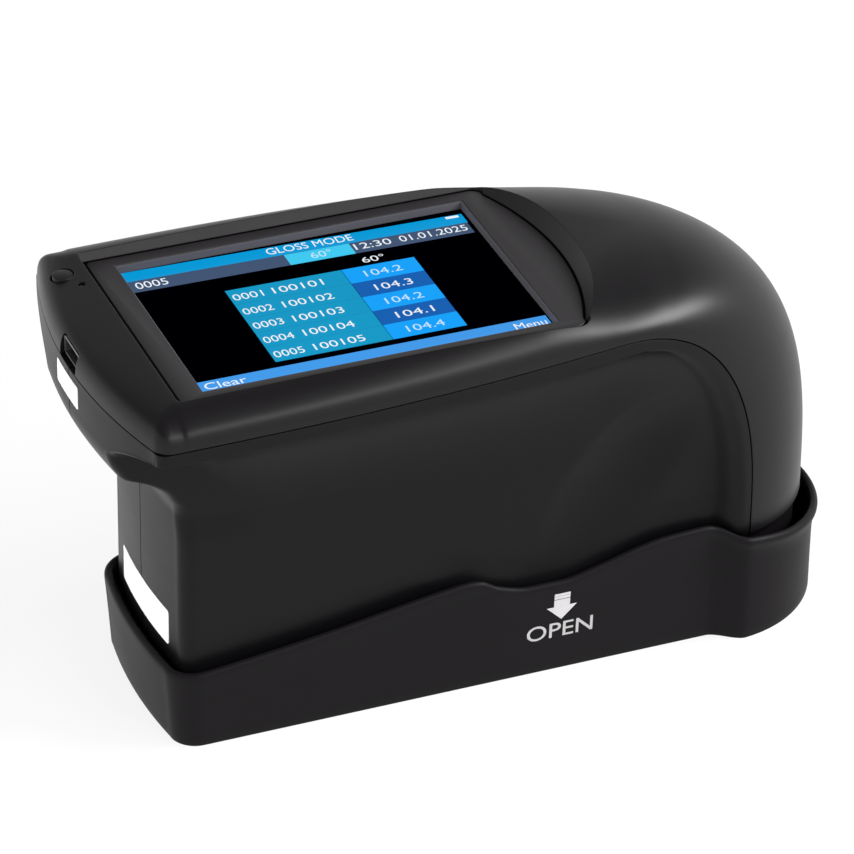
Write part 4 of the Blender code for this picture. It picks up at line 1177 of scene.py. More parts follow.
@dataclass(frozen=True)
class Cover:
    """Top cover: one moulded shell over the head, the dome and the spine."""

    face: float = 0.0040
    top_z: float = 0.0873
    dome_top_z: float = 0.0888
    dome_start_x: float = 0.02115
    dome_foot_z: float = 0.0280
    dome_power: float = 2.9
    skirt: float = 0.0008
    wall: float = 0.0024
    reach: float = 0.0040
    least_skirt: float = 0.0002
    shoulders: tuple[Point, ...] = (
        (-0.0694, 0.0080, 0.0008), (0.0060, 0.0080, 0.0008), (0.0130, 0.0105, 0.0008),
        (0.0200, 0.0165, 0.0005), (0.0270, 0.0225, 0.0003), (0.0350, 0.0270, 0.0002),
        (0.0450, 0.0300, 0.0002),
    )
    seat_thickness: float = 0.0025
    seat_cover: float = 0.0009
    seat_end: float = 0.006
    over: float = 0.004
    # Rows round the end face: how far back, share of the face's height, share of the bow, shoulder.
    end_stations: tuple[tuple[float, ...], ...] = (
        (0.0000, 0.00, 1.0, FORM.head_corner), (0.0002, 0.55, 1.0, FORM.head_corner),
        (0.0007, 0.95, 1.0, 0.0030), (0.0016, 1.20, 1.0, 0.0037), (0.0030, 1.35, 0.95, 0.0047),
        (0.0056, 1.48, 0.65, 0.0062), (0.0090, 1.60, 0.30, 0.0075),
    )
    hollow_end_stations: tuple[tuple[float, ...], ...] = (
        (0.0027, 1.18, 1.0, 0.0030), (0.0050, 1.42, 0.7, 0.0050), (0.0080, 1.55, 0.35, 0.0065),
    )
    # Spans of the outside along the end, the head, the dome and the spine's foot.
    spans: tuple[int, ...] = (4, 40, 72, 8)
    # Points across: those on the flat top, those on the shoulder, and where the shoulder starts.
    across: tuple[int, int, float] = (14, 22, 0.75)
    hollow_spans: tuple[int, int] = (9, 13)
    hollow_shares: tuple[float, ...] = (
        0.0, 0.14, 0.28, 0.42, 0.55, 0.66, 0.75, 0.82, 0.88, 0.93, 0.965, 0.99, 1.0,
    )

    def row(self, top: Flat, edge: Flat, width: float, bow: float, corner: float, skirt: float,
            fractions: Sequence[float], turn: float = math.pi / 2, wall: float = 0.0) -> list[Point]:
        """One closed cross row, from the far parting edge over the top to the near one.

        Args:
            top: (x, z) on the middle plane.
            edge: (x, z) at the parting line.
            width: half-width of the row.
            bow: the front's curvature in plan.
            corner: half-width of the shoulder's round.
            skirt: plain drop under the shoulder.
            fractions: shares of the half-width at which the row has a point.
            turn: angle that the shoulder's arc covers.
            wall: wall thickness, for the row of the hollow inside.

        Returns:
            The row's points.
        """
        drop_x, drop_z = edge[0] - top[0] - bow * width ** 2, edge[1] - top[1]
        depth = math.hypot(drop_x, drop_z)
        drop_x, drop_z = drop_x / depth, drop_z / depth
        if wall:
            top = (top[0] + drop_x * wall, top[1] + drop_z * wall)
            depth += self.reach - wall
            skirt += self.reach
            width -= wall
            corner = max(corner - wall, self.skirt)
        fall = (depth - skirt) / (1 - math.cos(turn))
        flat = max(0.0, width - corner * math.sin(turn))
        half = []
        for fraction in fractions:
            y = width * fraction
            sine = min(max(0.0, y - flat) / (width - flat), 1.0) * math.sin(turn)
            fallen = fall * (1 - math.cos(math.asin(sine)))
            half.append((top[0] + bow * y * y + drop_x * fallen, y, top[1] + drop_z * fallen))
        half.append((top[0] + bow * width ** 2 + drop_x * depth, width, top[1] + drop_z * depth))
        return half[::-1] + [(x, -y, z) for x, y, z in half[1:]]

    def end_rows(self, wall: float, fractions: Sequence[float]) -> Rows:
        """Rows that round the head's end face into its top.

        Args:
            wall: wall thickness for the hollow, or 0 for the outside.
            fractions: shares of the half-width at which a row has a point.

        Returns:
            The rows, from the end face inward.
        """
        bow, head_width = FORM.bow, FORM.head_half_width
        corner_x = FORM.head_end_x + bow * head_width ** 2 + FORM.head_corner
        stations = self.hollow_end_stations if wall else self.end_stations
        rows = []
        for index, (back, rise, share, corner) in enumerate(stations):
            top = (FORM.head_end_x + back, FORM.parting_z + rise * self.face)
            edge_x = top[0] + bow * share * head_width ** 2
            if not wall:
                # Edges that would meet are kept a tenth of a millimetre apart.
                edge_x = max(corner_x + 0.0001 * index, edge_x)
            width = FORM.half_width(max(edge_x, corner_x))
            rows.append(self.row(
                top, (edge_x, FORM.parting_z), width, bow * share, corner, self.least_skirt, fractions,
                wall=wall,
            ))
        return rows

    def head_row(self, t: float, wall: float, fractions: Sequence[float]) -> list[Point]:
        """Row of the head, from its left at t 0 to the dome's start at t 1.

        Args:
            t: share of the head's length.
            wall: wall thickness for the hollow, or 0.
            fractions: shares of the half-width.

        Returns:
            The row's points.
        """
        left = Display.left_x
        x = left + (self.dome_start_x - left) * t
        top = (x, self.top_z + (self.dome_top_z - self.top_z) * t)
        edge = (x + (FORM.parting_bend_x - self.dome_start_x) * t, FORM.parting_z)
        return self.row(
            top, edge, FORM.half_width(edge[0]), 0.0, along(self.shoulders, x),
            along(self.shoulders, x, 2), fractions, wall=wall,
        )

    def dome_row(self, t: float, wall: float, fractions: Sequence[float]) -> list[Point]:
        """Row of the dome, from the head at t 0 to the spine at t 1.

        Args:
            t: share of the dome's turn.
            wall: wall thickness for the hollow, or 0.
            fractions: shares of the half-width.

        Returns:
            The row's points.
        """
        angle = math.pi / 2 * (1 - t ** 1.5)
        apex_x = FORM.spine_center_x + FORM.spine_radius
        top = quarter_curve(
            (self.dome_start_x, self.dome_foot_z),
            (apex_x - self.dome_start_x, self.dome_top_z - self.dome_foot_z), self.dome_power, angle,
        )
        edge = FORM.parting_at(angle)
        width = FORM.half_width(edge[0])
        blend = smoothstep(t / 0.8)
        turn = math.pi / 2 + (FORM.spine_turn - math.pi / 2) * blend
        corner = min(along(self.shoulders, top[0]), width) * (1 - blend)
        corner += width / math.sin(FORM.spine_turn) * blend
        skirt = along(self.shoulders, top[0], 2)
        return self.row(top, edge, width, 0.0, corner, skirt, fractions, turn, wall)

    def spine_row(self, height: float, wall: float, fractions: Sequence[float]) -> list[Point]:
        """Level row of the spine's foot.

        Args:
            height: height of the row.
            wall: wall thickness for the hollow, or 0.
            fractions: shares of the half-width.

        Returns:
            The row's points.
        """
        reach = FORM.parting_foot_x - FORM.spine_center_x
        radius = FORM.spine_radius - FORM.foot_inset(height)
        return self.row(
            (FORM.spine_center_x + radius, height), (FORM.parting_foot_x, height),
            math.sqrt(radius ** 2 - reach ** 2), 0.0, radius, self.least_skirt, fractions,
            math.acos(reach / radius), wall,
        )

    def outside(self) -> Form:
        """Fine outer skin.

        Returns:
            The form.
        """
        flats, rounds, start = self.across
        finer, head_spans, dome_spans, foot_spans = self.spans
        fractions = [start * i / flats for i in range(flats)]
        fractions += [start + (1 - start) * math.sin(math.pi / 2 * i / rounds) for i in range(rounds + 1)]
        heads = [self.head_row(i / head_spans, 0.0, fractions) for i in range(head_spans + 1)]
        # Two rows of the head steer the end's curve, and are left out of it afterwards.
        ends = eased(self.end_rows(0.0, fractions) + [heads[0], heads[2]], finer)[:-finer - 1]
        domes = [self.dome_row(i / dome_spans, 0.0, fractions) for i in range(1, dome_spans + 1)]
        high, low = FORM.spine_foot_z, FORM.spine_foot_z - FORM.spine_foot_fade
        levels = [high + (low - high) * i / foot_spans for i in range(foot_spans + 1)] + [FORM.foot_z]
        return Form.skin(ends + heads + domes + [self.spine_row(z, 0.0, fractions) for z in levels])

    def hollow(self) -> Form:
        """Hollow inside the wall, reaching past the parting line.

        Returns:
            The form.
        """
        fractions, (heads, domes) = self.hollow_shares, self.hollow_spans
        rows = self.end_rows(self.wall, fractions)
        rows += [self.head_row((i + 0.5) / heads, self.wall, fractions) for i in range(heads)]
        rows += [self.dome_row((i + 0.5) / domes, self.wall, fractions) for i in range(domes)]
        fade = FORM.spine_foot_z - FORM.spine_foot_fade
        for level in (FORM.spine_foot_z, (FORM.spine_foot_z + fade) / 2, fade, FORM.foot_z):
            rows.append(self.spine_row(level + 0.5 * self.least_skirt, self.wall, fractions))
        rows.append([(x, y, z - self.reach) for x, y, z in rows[-1]])
        return Form.skin(rows)

    def height(self, x: float, y: float) -> float:
        """Height of the outside over the head.

        Args:
            x: place along the head.
            y: place across it.

        Returns:
            The height.
        """
        t = (x - Display.left_x) / (self.dome_start_x - Display.left_x)
        top = self.top_z + (self.dome_top_z - self.top_z) * min(1.0, max(0.0, t))
        width, corner = FORM.half_width(x), along(self.shoulders, x)
        sine = min(max(0.0, abs(y) - width + corner) / corner, 1.0)
        fall = top - FORM.parting_z - along(self.shoulders, x, 2)
        return top - fall * (1 - math.sqrt(1 - sine ** 2))

    def seat_ring(self, inset: float, left_x: float, bow: float, right_x: float, z: float) -> list[Point]:
        """Ring of the display's seat, which follows the walls and stays under the top.

        Args:
            inset: distance from the walls.
            left_x: left end on the middle plane.
            bow: the left end's curvature in plan.
            right_x: right end on the middle plane.
            z: height, where the top leaves room for it.

        Returns:
            The ring's points.
        """
        edge_y = FORM.half_width(left_x) - inset
        half = [(left_x + bow * (edge_y * i / 5) ** 2, -edge_y * i / 5) for i in range(5)]
        start = left_x + bow * edge_y ** 2
        for i in range(9):
            x = start + (right_x - self.seat_end - start) * i / 8
            half.append((x, inset - FORM.half_width(x)))
        last, radius = half[-1][1], Display.arc_radius
        for i in range(1, 5):
            y = last * (1 - i / 4)
            half.append((right_x - (radius - math.sqrt(radius ** 2 - y * y)), y))
        return [(x, y, min(z, self.height(x, y) - self.seat_cover)) for x, y in mirrored(half)]

    def build(self, finish: bpy.types.Material) -> None:
        """Make the cover with its recess, window and holes.

        Args:
            finish: its finish.
        """
        display = Display()
        cover = self.outside().without(self.hollow())
        low, end, apex = display.floor_z - self.seat_thickness, FORM.head_end_x, display.apex_x
        seat = Form.skin([
            self.seat_ring(0.0020, end + 0.0035, FORM.bow, apex + 0.0050, low),
            self.seat_ring(0.0023, end + 0.0038, FORM.bow, apex + 0.0050, display.plate_z - 0.0006),
            self.seat_ring(0.0046, display.left_x + 0.0008, 0.0, apex + 0.0045, display.plate_z + 0.0011),
        ])
        cover.combine(seat, Cut.JOIN)
        high = self.dome_top_z + self.over
        rise = high - display.plate_z
        spread = display.side_slope * rise
        top = display.outline(-spread, display.slope * rise - spread)
        recess = Form.skin([
            [(x, y, display.floor_z) for x, y in display.outline(0.0)],
            [(x, y, display.plate_z) for x, y in display.outline(0.0)],
            [(max(x, display.left_x), y, high) for x, y in top],
        ])
        window = display.opening(-display.touch_margin - FORM.gap, low - display.past, display.plate_z)
        cover.without(recess, window, *Controls().holes())
        cover.piece("cover", finish, Body.METER, "shell", ("top_cover",), angle=28.0)


# Lower housing.


@dataclass(frozen=True)
class Housing:
    """Lower housing: one moulded form, split down the middle into two shells."""

    wall: float = 0.0020
    lift: float = 0.7
    back_reach: float = 0.0035
    strip: float = 0.0030
    overhang: float = 0.0276
    pad: float = 0.0009
    pad_fade: float = 0.0060
    front_overhang: float = 0.0066
    front_power: float = 1.3
    overhang_run: Flat = (-0.0700, 0.0250)
    corners: tuple[Flat, ...] = ((0.0530, 0.0035), (0.0600, 0.0022), (0.0776, 0.0025))
    chin: tuple[Flat, ...] = (
        (0.0530, 0.00), (0.0552, 0.03), (0.0572, 0.10), (0.0595, 0.20), (0.0611, 0.33), (0.0627, 0.51),
        (0.0638, 0.68), (0.0645, 0.80), (0.0661, 0.88), (0.0680, 0.95), (0.0700, 0.99), (0.0715, 1.00),
    )
    ridge: tuple[Flat, ...] = (
        (-0.0539, 0.0471), (-0.0412, 0.0394), (-0.0284, 0.0328), (-0.0154, 0.0273), (-0.0066, 0.0240),
        (0.0023, 0.0214), (0.0157, 0.0187), (0.0245, 0.0203), (0.0355, 0.0263),
    )
    dimple: Flat = (0.02865, 0.0420)
    dimple_size: Flat = (0.0240, 0.0105)
    dimple_angle: float = math.radians(52)
    dimple_depth: float = 0.0020
    # Levels above the chin's foot and below the strip at which the rings' spacing changes.
    breaks: tuple[float, ...] = (0.001, 0.0013, 0.0004)
    past: float = 0.001
    step_lead: float = 0.020
    arc_spans: int = 60
    rib_spans: int = 24
    rib_reach: Flat = (0.0025, 0.0008)
    rib_span: Flat = (0.0180, 0.0202)
    rib_web: float = 0.0219
    rib_foot_z: float = 0.0095

    def side(self, x: float, z: float) -> float:
        """Half-width of the housing's side at a place and height.

        Args:
            x: place along the body.
            z: the height.

        Returns:
            The half-width, with the pad, the dimple, the cove and the step to the spine.
        """
        pad = smoothstep((along(self.ridge, x) - z) / self.pad_fade + 1)
        width = FORM.grip_half_width - self.pad * (1 - pad)
        across, up = x - self.dimple[0], z - self.dimple[1]
        u = across * math.cos(self.dimple_angle) + up * math.sin(self.dimple_angle)
        v = up * math.cos(self.dimple_angle) - across * math.sin(self.dimple_angle)
        reach = (u / self.dimple_size[0]) ** 2 + (v / self.dimple_size[1]) ** 2
        if reach < 1:
            width -= self.dimple_depth * (1 - reach) ** 1.2
        start, run = self.overhang_run
        back = smoothstep((x - start) / run)
        overhang = self.front_overhang + (self.overhang - self.front_overhang) * back
        power = self.front_power + (2 - self.front_power) * back
        below = max(0.0, FORM.parting_height(x) - self.strip - z) / overhang
        flare = 1 - (1 - (1 - below) ** power) ** (1 / power) if below < 1 else 0.0
        run = FORM.parting_foot_x - FORM.parting_bend_x
        soft = smoothstep((x - FORM.parting_bend_x) / run * 2)
        flare += ((1 - min(below, 1.0)) ** 2 - flare) * soft
        step = smoothstep(1 - (FORM.parting_x(z) - FORM.step_land - x) / FORM.step_run)
        spread = 1 - (1 - flare) * (1 - step)
        return width + (FORM.half_width(x) - FORM.foot_inset(z) * step - width) * spread

    def face_x(self, z: float) -> float:
        """Place of the front face on the middle plane at a height."""
        return FORM.neck_front_x + (FORM.head_end_x - FORM.neck_front_x) * along(self.chin, z)

    def ring(self, z: float, inset: float = 0.0, fine: int = 1) -> list[Point]:
        """Plan ring at a height, closed behind the parting curve.

        Args:
            z: height of the ring.
            inset: wall thickness, for the ring of the hollow inside.
            fine: how many times finer than the coarse ring it is.

        Returns:
            The ring's points.
        """
        level = max(z - inset * self.lift, FORM.foot_z)
        fronts, corners, sides, steps = 5 * fine, 5 * fine, 22 * fine, 6 * fine
        face_x, corner = self.face_x(level), along(self.corners, level)
        width = FORM.grip_half_width
        # The side's half-width depends on where the corner ends, so the two are settled in turns.
        for _ in range(6):
            side_x = face_x + FORM.bow * (width - corner) ** 2 + corner
            width = self.side(side_x, level)
        flat_y = width - corner
        half = [(face_x + FORM.bow * (flat_y * i / fronts) ** 2, -flat_y * i / fronts) for i in range(fronts)]
        for i in range(corners + 1):
            angle = math.pi / 2 * i / corners
            half.append((side_x - corner * math.cos(angle), -flat_y - corner * math.sin(angle)))
        if inset:
            half = self.hollow_front(half, inset)
            side_x = half[-1][0]
        part_x = FORM.parting_x(level)
        end_x = part_x + self.back_reach + inset
        bend = max(side_x + self.step_lead, part_x - FORM.step_land - FORM.step_run)
        places = [side_x + (bend - side_x) * i / sides for i in range(1, sides + 1)]
        places += [bend + (end_x - bend) * i / steps for i in range(1, steps + 1)]
        half += [(x, inset - self.side(min(x, part_x), level)) for x in places]
        half.append((end_x, 0.0))
        return [(x, y, z) for x, y in mirrored(half)]

    @staticmethod
    def hollow_front(half: list[Flat], inset: float) -> list[Flat]:
        """Move the near half of a front outline inward along its own normals.

        Args:
            half: the near half's points.
            inset: how far inward.

        Returns:
            The moved points.
        """
        ends = [(half[1][0], -half[1][1])] + half + [(half[-1][0] + 1, half[-1][1])]
        moved = []
        for before, (x, y), after in zip(ends, half, ends[2:]):
            along_x, along_y = after[0] - before[0], after[1] - before[1]
            size = math.hypot(along_x, along_y)
            moved.append((x - along_y / size * inset, y + along_x / size * inset))
        return moved

    def heights(self, fine: int) -> list[float]:
        """Heights of the rings, closer together where the form turns.

        Args:
            fine: how many times finer than the coarse spacing they are.

        Returns:
            The heights, from the foot up.
        """
        strip = FORM.parting_z - self.strip
        chin, bend, edge = self.breaks
        stops = [
            FORM.foot_z, self.chin[0][0] - chin, strip - bend, strip - edge, strip,
            FORM.parting_z + self.past,
        ]
        spans = [10 * fine, 16 * fine, fine, 1, 1]
        levels = [stops[0]]
        for low, high, count in zip(stops, stops[1:], spans):
            levels += [low + (high - low) * i / count for i in range(1, count + 1)]
        return levels

    def rib(self, side: float) -> Form:
        """Rib behind the seam with the cover, which keeps light from passing through it.

        Args:
            side: -1 for the near shell, 1 for the far one.

        Returns:
            The form, with a web at its foot that reaches into the shell's wall.
        """
        back, front = self.rib_reach
        deep, shallow = (side * y for y in self.rib_span)
        foot_x = FORM.parting_foot_x
        stations = [((foot_x + front, self.rib_foot_z), (foot_x - back, self.rib_foot_z))]
        for i in range(self.rib_spans + 1):
            angle = math.pi / 2 * i / self.rib_spans
            stations.append((FORM.parting_at(angle, -front), FORM.parting_at(angle, back)))
        arch = Form.skin([
            [(ahead[0], deep, ahead[1]), (ahead[0], shallow, ahead[1]), (behind[0], shallow, behind[1]),
             (behind[0], deep, behind[1])]
            for ahead, behind in stations
        ])
        ends = sorted((deep, side * self.rib_web))
        web = Form.block(
            (foot_x - back, ends[0], self.rib_foot_z),
            (foot_x - 2 * FORM.gap, ends[1], FORM.spine_foot_z - self.past),
        )
        return arch.combine(web, Cut.JOIN)

    def build(self, finish: bpy.types.Material) -> None:
        """Make both shells.

        Args:
            finish: its finish.
        """
        left, low_z, gap = FORM.head_end_x - 5 * self.past, FORM.foot_z - 2 * self.past, FORM.gap
        profile = [(left, low_z), (FORM.parting_foot_x - gap, low_z)]
        profile += [
            FORM.parting_at(math.pi / 2 * i / self.arc_spans, gap) for i in range(self.arc_spans + 1)
        ]
        profile.append((left, FORM.parting_z - gap))
        rings = [self.ring(z, fine=3) for z in self.heights(3)]
        levels = [FORM.foot_z - self.past] + [z + self.wall * self.lift for z in self.heights(1)]
        levels.append(FORM.parting_z + 6 * self.past)
        hollow_rings = [self.ring(z, self.wall) for z in levels]
        reach = FORM.head_half_width + 10 * self.past
        for name, node, low, high in (
            ("near_shell", "near_housing", -reach, -gap / 2), ("far_shell", "far_housing", gap / 2, reach),
        ):
            shell = Form.skin(rings).combine(Form.side_prism(profile, low, high), Cut.SHARE)
            shell.without(Form.skin(hollow_rings))
            if node == "far_housing":
                shell.without(Controls().measure_hole())
            shell.combine(self.rib(math.copysign(1.0, low + high)), Cut.JOIN)
            shell.piece(name, finish, Body.METER, "housing", (node,), angle=40.0)


# Display.


@dataclass(frozen=True)
class Display:
    """Display plate, touch panel and the lit page."""

    left_x: float = -0.06935
    apex_x: float = 0.02295
    half_width: float = 0.0292
    arc_radius: float = 0.065
    corner: float = 0.0030
    slope: float = 0.73
    side_slope: float = 0.55
    plate_z: float = 0.0856
    plate_thickness: float = 0.0016
    center_x: float = -0.02535
    opening_length: float = 0.0750
    opening_width: float = 0.0511
    touch_margin: float = 0.0015
    groove: float = 0.0002
    # The next three sizes belong to two painted rings: a pale one in the window that paints the light on the
    # window's wall, and a near-black one in the groove round the plate that paints the groove's shade.
    gasket: float = 0.00025
    shade_ring_sink: float = 0.00012
    painted_ring_depth: float = 0.0002
    left_share: float = 2.7
    plate_edge: float = 0.00022
    glass_edge: float = 0.00015
    sliver: float = 0.00001
    past: float = 0.002

    @property
    def floor_z(self) -> float:
        """Top of the touch panel, level with the recess's floor."""
        return self.plate_z - self.plate_thickness - FORM.gap

    def outline(self, inset: float, push: float = 0.0, corners: int = 10, arcs: int = 40) -> list[Flat]:
        """Closed plan outline: straight left edge, arched right edge.

        Args:
            inset: how far inside the recess's outline.
            push: how much further right the arch lies.
            corners: spans round each corner.
            arcs: spans on each half of the arch.

        Returns:
            The points (x, y).
        """
        left, width = self.left_x + inset * self.left_share, self.half_width - inset
        apex = self.apex_x - inset + push
        corner, radius = self.corner, self.arc_radius
        points = []
        for i in range(corners, -1, -1):
            angle = math.pi / 2 * i / corners
            points.append((
                left + corner / 3 * (1 - math.sin(angle)), -width + corner / 3 * (1 - math.cos(angle)),
            ))
        arc_y = width - corner
        arc_x = apex - (radius - math.sqrt(radius ** 2 - arc_y ** 2))
        lean = math.asin(arc_y / radius)
        for i in range(corners + 1):
            angle = -math.pi / 2 + (math.pi / 2 - lean) * i / corners
            points.append((
                arc_x + corner * (math.cos(angle) - math.cos(lean)), -width + corner * (1 + math.sin(angle)),
            ))
        last = points[-1][1]
        for i in range(1, arcs + 1):
            y = last * (1 - i / arcs)
            points.append((apex - (radius - math.sqrt(radius ** 2 - y ** 2)), y))
        return points + [(x, -y) for x, y in reversed(points[:-1])]

    def opening(self, inset: float, low: float, high: float) -> Form:
        """Block the size of the opening, less an inset, between two heights."""
        half_x, half_y = self.opening_length / 2 - inset, self.opening_width / 2 - inset
        return Form.block((self.center_x - half_x, -half_y, low), (self.center_x + half_x, half_y, high))

    def build(self, film: bpy.types.Material, glass: bpy.types.Material, lit_wall_paint: bpy.types.Material,
              groove_shade_paint: bpy.types.Material) -> None:
        """Make the plate with its rounded edges, a pale ring in its window that paints the light on the
        window's wall, a near-black ring in the groove round it that paints the groove's shade, and the touch
        panel.

        Args:
            film: the plate's finish.
            glass: the touch panel's finish.
            lit_wall_paint: pale finish of the ring in the window, which paints the light on the window's
                wall.
            groove_shade_paint: near-black finish of the ring in the groove round the plate, which paints the
                groove's shade.
        """
        top, inset, room = self.plate_z, FORM.gap + self.groove, 2 * self.sliver
        low = top - self.plate_thickness
        under, over = low - self.past, top + self.past
        plate = Form.prism(self.outline(inset), low, top).without(self.opening(0.0, under, over))
        plate.bevel(plate.edges_where(lambda p: p.z > top - self.sliver, 60.0), self.plate_edge)
        plate.piece("display_frame", film, Body.METER, "plate", ("display_plate",))
        # A near-black ring sunk into the groove round the plate paints the groove's shade.
        sunk = top - self.shade_ring_sink
        shade_ring = Form.prism(self.outline(room), self.floor_z + room, sunk)
        shade_ring.without(Form.prism(self.outline(inset - self.sliver), under, sunk + self.past))
        shade_ring.piece("plate_seal", groove_shade_paint, Body.METER)
        # A pale ring inside the window paints the light that falls on the window's wall.
        ring = self.opening(room, self.floor_z + room, top - self.painted_ring_depth)
        ring.without(self.opening(self.gasket, under, over))
        ring.piece("screen_gasket", lit_wall_paint, Body.METER)
        low_corner, high_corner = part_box("touch_panel")
        Form.block(tuple(low_corner), tuple(high_corner), self.glass_edge).piece(
            "screen_glass", glass, Body.METER, "screen", ("touch_panel",)
        )


@dataclass(frozen=True)
class PageArea:
    """A lit rectangle of the page, or a line of figures fitted into one."""

    ink: str
    left: float
    right: float
    low: float
    high: float
    text: str = ""
    layer: int = 1


class Page:
    """The lit page of the screen, drawn in millimetres on the touch panel."""

    AREAS: tuple[PageArea, ...] = (
        PageArea("title", -62.4, 11.2, 21.5, 25.3),
        PageArea("slate", -62.2, 11.0, 17.1, 21.5),
        PageArea("tab", -28.6, -14.7, 17.1, 21.4, layer=2),
        PageArea("soft_keys", -62.6, 11.6, -25.3, -19.3),
        PageArea("figures", 7.5, 10.3, 24.1, 25.0, layer=3),
        PageArea("figures", -31.5, -13.1, 22.4, 24.9, "GLOSS MODE", 3),
        PageArea("figures", -60.6, -53.9, 18.2, 20.7, "0005", 3),
        PageArea("pale_figures", -23.6, -19.1, 18.1, 20.6, "60°", 3),
        PageArea("figures", -14.1, -6.3, 18.4, 20.8, "12:30", 3),
        PageArea("figures", -4.4, 10.2, 18.4, 20.8, "01.01.2025", 3),
        PageArea("figures", -14.6, -9.8, 12.9, 15.2, "60°", 3),
        PageArea("figures", -60.8, -52.2, -22.5, -20.1, "Clear", 3),
        PageArea("figures", 4.2, 10.9, -22.8, -20.4, "Menu", 3),
    )
    TABLE_LEFT, TABLE_MIDDLE, TABLE_RIGHT = -44.6, -19.9, -4.3
    TABLE_TOP, ROW = 11.8, 5.84
    VALUES = ("104.2", "104.3", "104.2", "104.1", "104.4")

    def __init__(self, inks: dict[str, bpy.types.Material]) -> None:
        """Keep the lit finishes by name."""
        self.inks = inks
        self.forms: dict[str, Form] = {}

    def areas(self) -> list[PageArea]:
        """All areas, with those of the table's rows.

        Returns:
            The areas, in the order in which they are drawn.
        """
        found = list(self.AREAS)
        for row, value in enumerate(self.VALUES):
            high = self.TABLE_TOP - row * self.ROW
            low = high - self.ROW
            found += [
                PageArea("names", self.TABLE_LEFT, self.TABLE_MIDDLE - 0.1, low + 0.12, high),
                PageArea(
                    "dark_value" if row % 2 else "light_value", self.TABLE_MIDDLE, self.TABLE_RIGHT,
                    low, high,
                ),
                PageArea("names_line", self.TABLE_LEFT, self.TABLE_MIDDLE - 0.1, low, low + 0.12),
                PageArea("figures", -44.0, -37.7, low + 1.5, low + 3.9, f"000{row + 1}", 3),
                PageArea("figures", -35.6, -25.0, low + 1.5, low + 3.9, f"10010{row + 1}", 3),
                PageArea(
                    "figures" if row % 2 else "pale_figures", -16.0, -8.1, low + 1.6, low + 4.0, value, 3,
                ),
            ]
        return found

    @staticmethod
    def on_screen(x: float, y: float, layer: int) -> Point:
        """Place on the touch panel of a point of the page, in metres.

        Args:
            x, y: the point on the page, in millimetres.
            layer: how many layers above the panel it lies.

        Returns:
            The place, with the page's lean towards its right end.
        """
        droop = (x + 62.0) / 73.0 * (0.2 + 1.6 * (y + 22.0) / 47.0)
        return x / 1000, (y - droop) / 1000, Display().floor_z + 0.000012 * layer

    @staticmethod
    def lettering(text: str, weight: float = 0.0) -> Form:
        """Flat letters as a form, with their lower left at the origin and a size of 1 each way.

        Args:
            text: what is written.
            weight: how much the strokes are thickened.

        Returns:
            The form.
        """
        curve = bpy.data.curves.new("lettering", "FONT")
        curve.body, curve.resolution_u, curve.offset = text, 4, weight
        obj = bpy.data.objects.new("lettering", curve)
        bpy.context.scene.collection.objects.link(obj)
        bpy.context.view_layer.update()
        mesh = bpy.data.meshes.new_from_object(obj.evaluated_get(bpy.context.evaluated_depsgraph_get()))
        form = Form()
        form.bm.from_mesh(mesh)
        bpy.data.objects.remove(obj)
        bpy.data.curves.remove(curve)
        bpy.data.meshes.remove(mesh)
        bmesh.ops.remove_doubles(form.bm, verts=form.bm.verts, dist=0.0001)
        xs = [v.co.x for v in form.bm.verts]
        ys = [v.co.y for v in form.bm.verts]
        size = Matrix.Diagonal((1 / (max(xs) - min(xs)), 1 / (max(ys) - min(ys)), 1, 1))
        return form.moved(size @ Matrix.Translation((-min(xs), -min(ys), 0)))

    def area_form(self, area: PageArea) -> Form:
        """Form of one area, on the touch panel.

        Args:
            area: the area.

        Returns:
            The form.
        """
        if area.text:
            form = self.lettering(area.text)
        else:
            form = Form()
            bmesh.ops.create_grid(form.bm, x_segments=8, y_segments=2, size=0.5)
            form.moved(Matrix.Translation((0.5, 0.5, 0)))
        for vert in form.bm.verts:
            x = area.left + (area.right - area.left) * vert.co.x
            y = area.low + (area.high - area.low) * vert.co.y
            vert.co = self.on_screen(x, y, area.layer)
        return form

    def build(self) -> None:
        """Make one piece of each lit finish."""
        for area in self.areas():
            form = self.area_form(area)
            mesh = bpy.data.meshes.new("area")
            form.bm.to_mesh(mesh)
            form.bm.free()
            self.forms.setdefault(area.ink, Form()).bm.from_mesh(mesh)
            bpy.data.meshes.remove(mesh)
        for ink, form in self.forms.items():
            for face in form.bm.faces:
                if face.normal.z < 0:
                    face.normal_flip()
            form.piece(f"page_{ink}", self.inks[ink], Body.METER, "screen")


# Controls and marks.


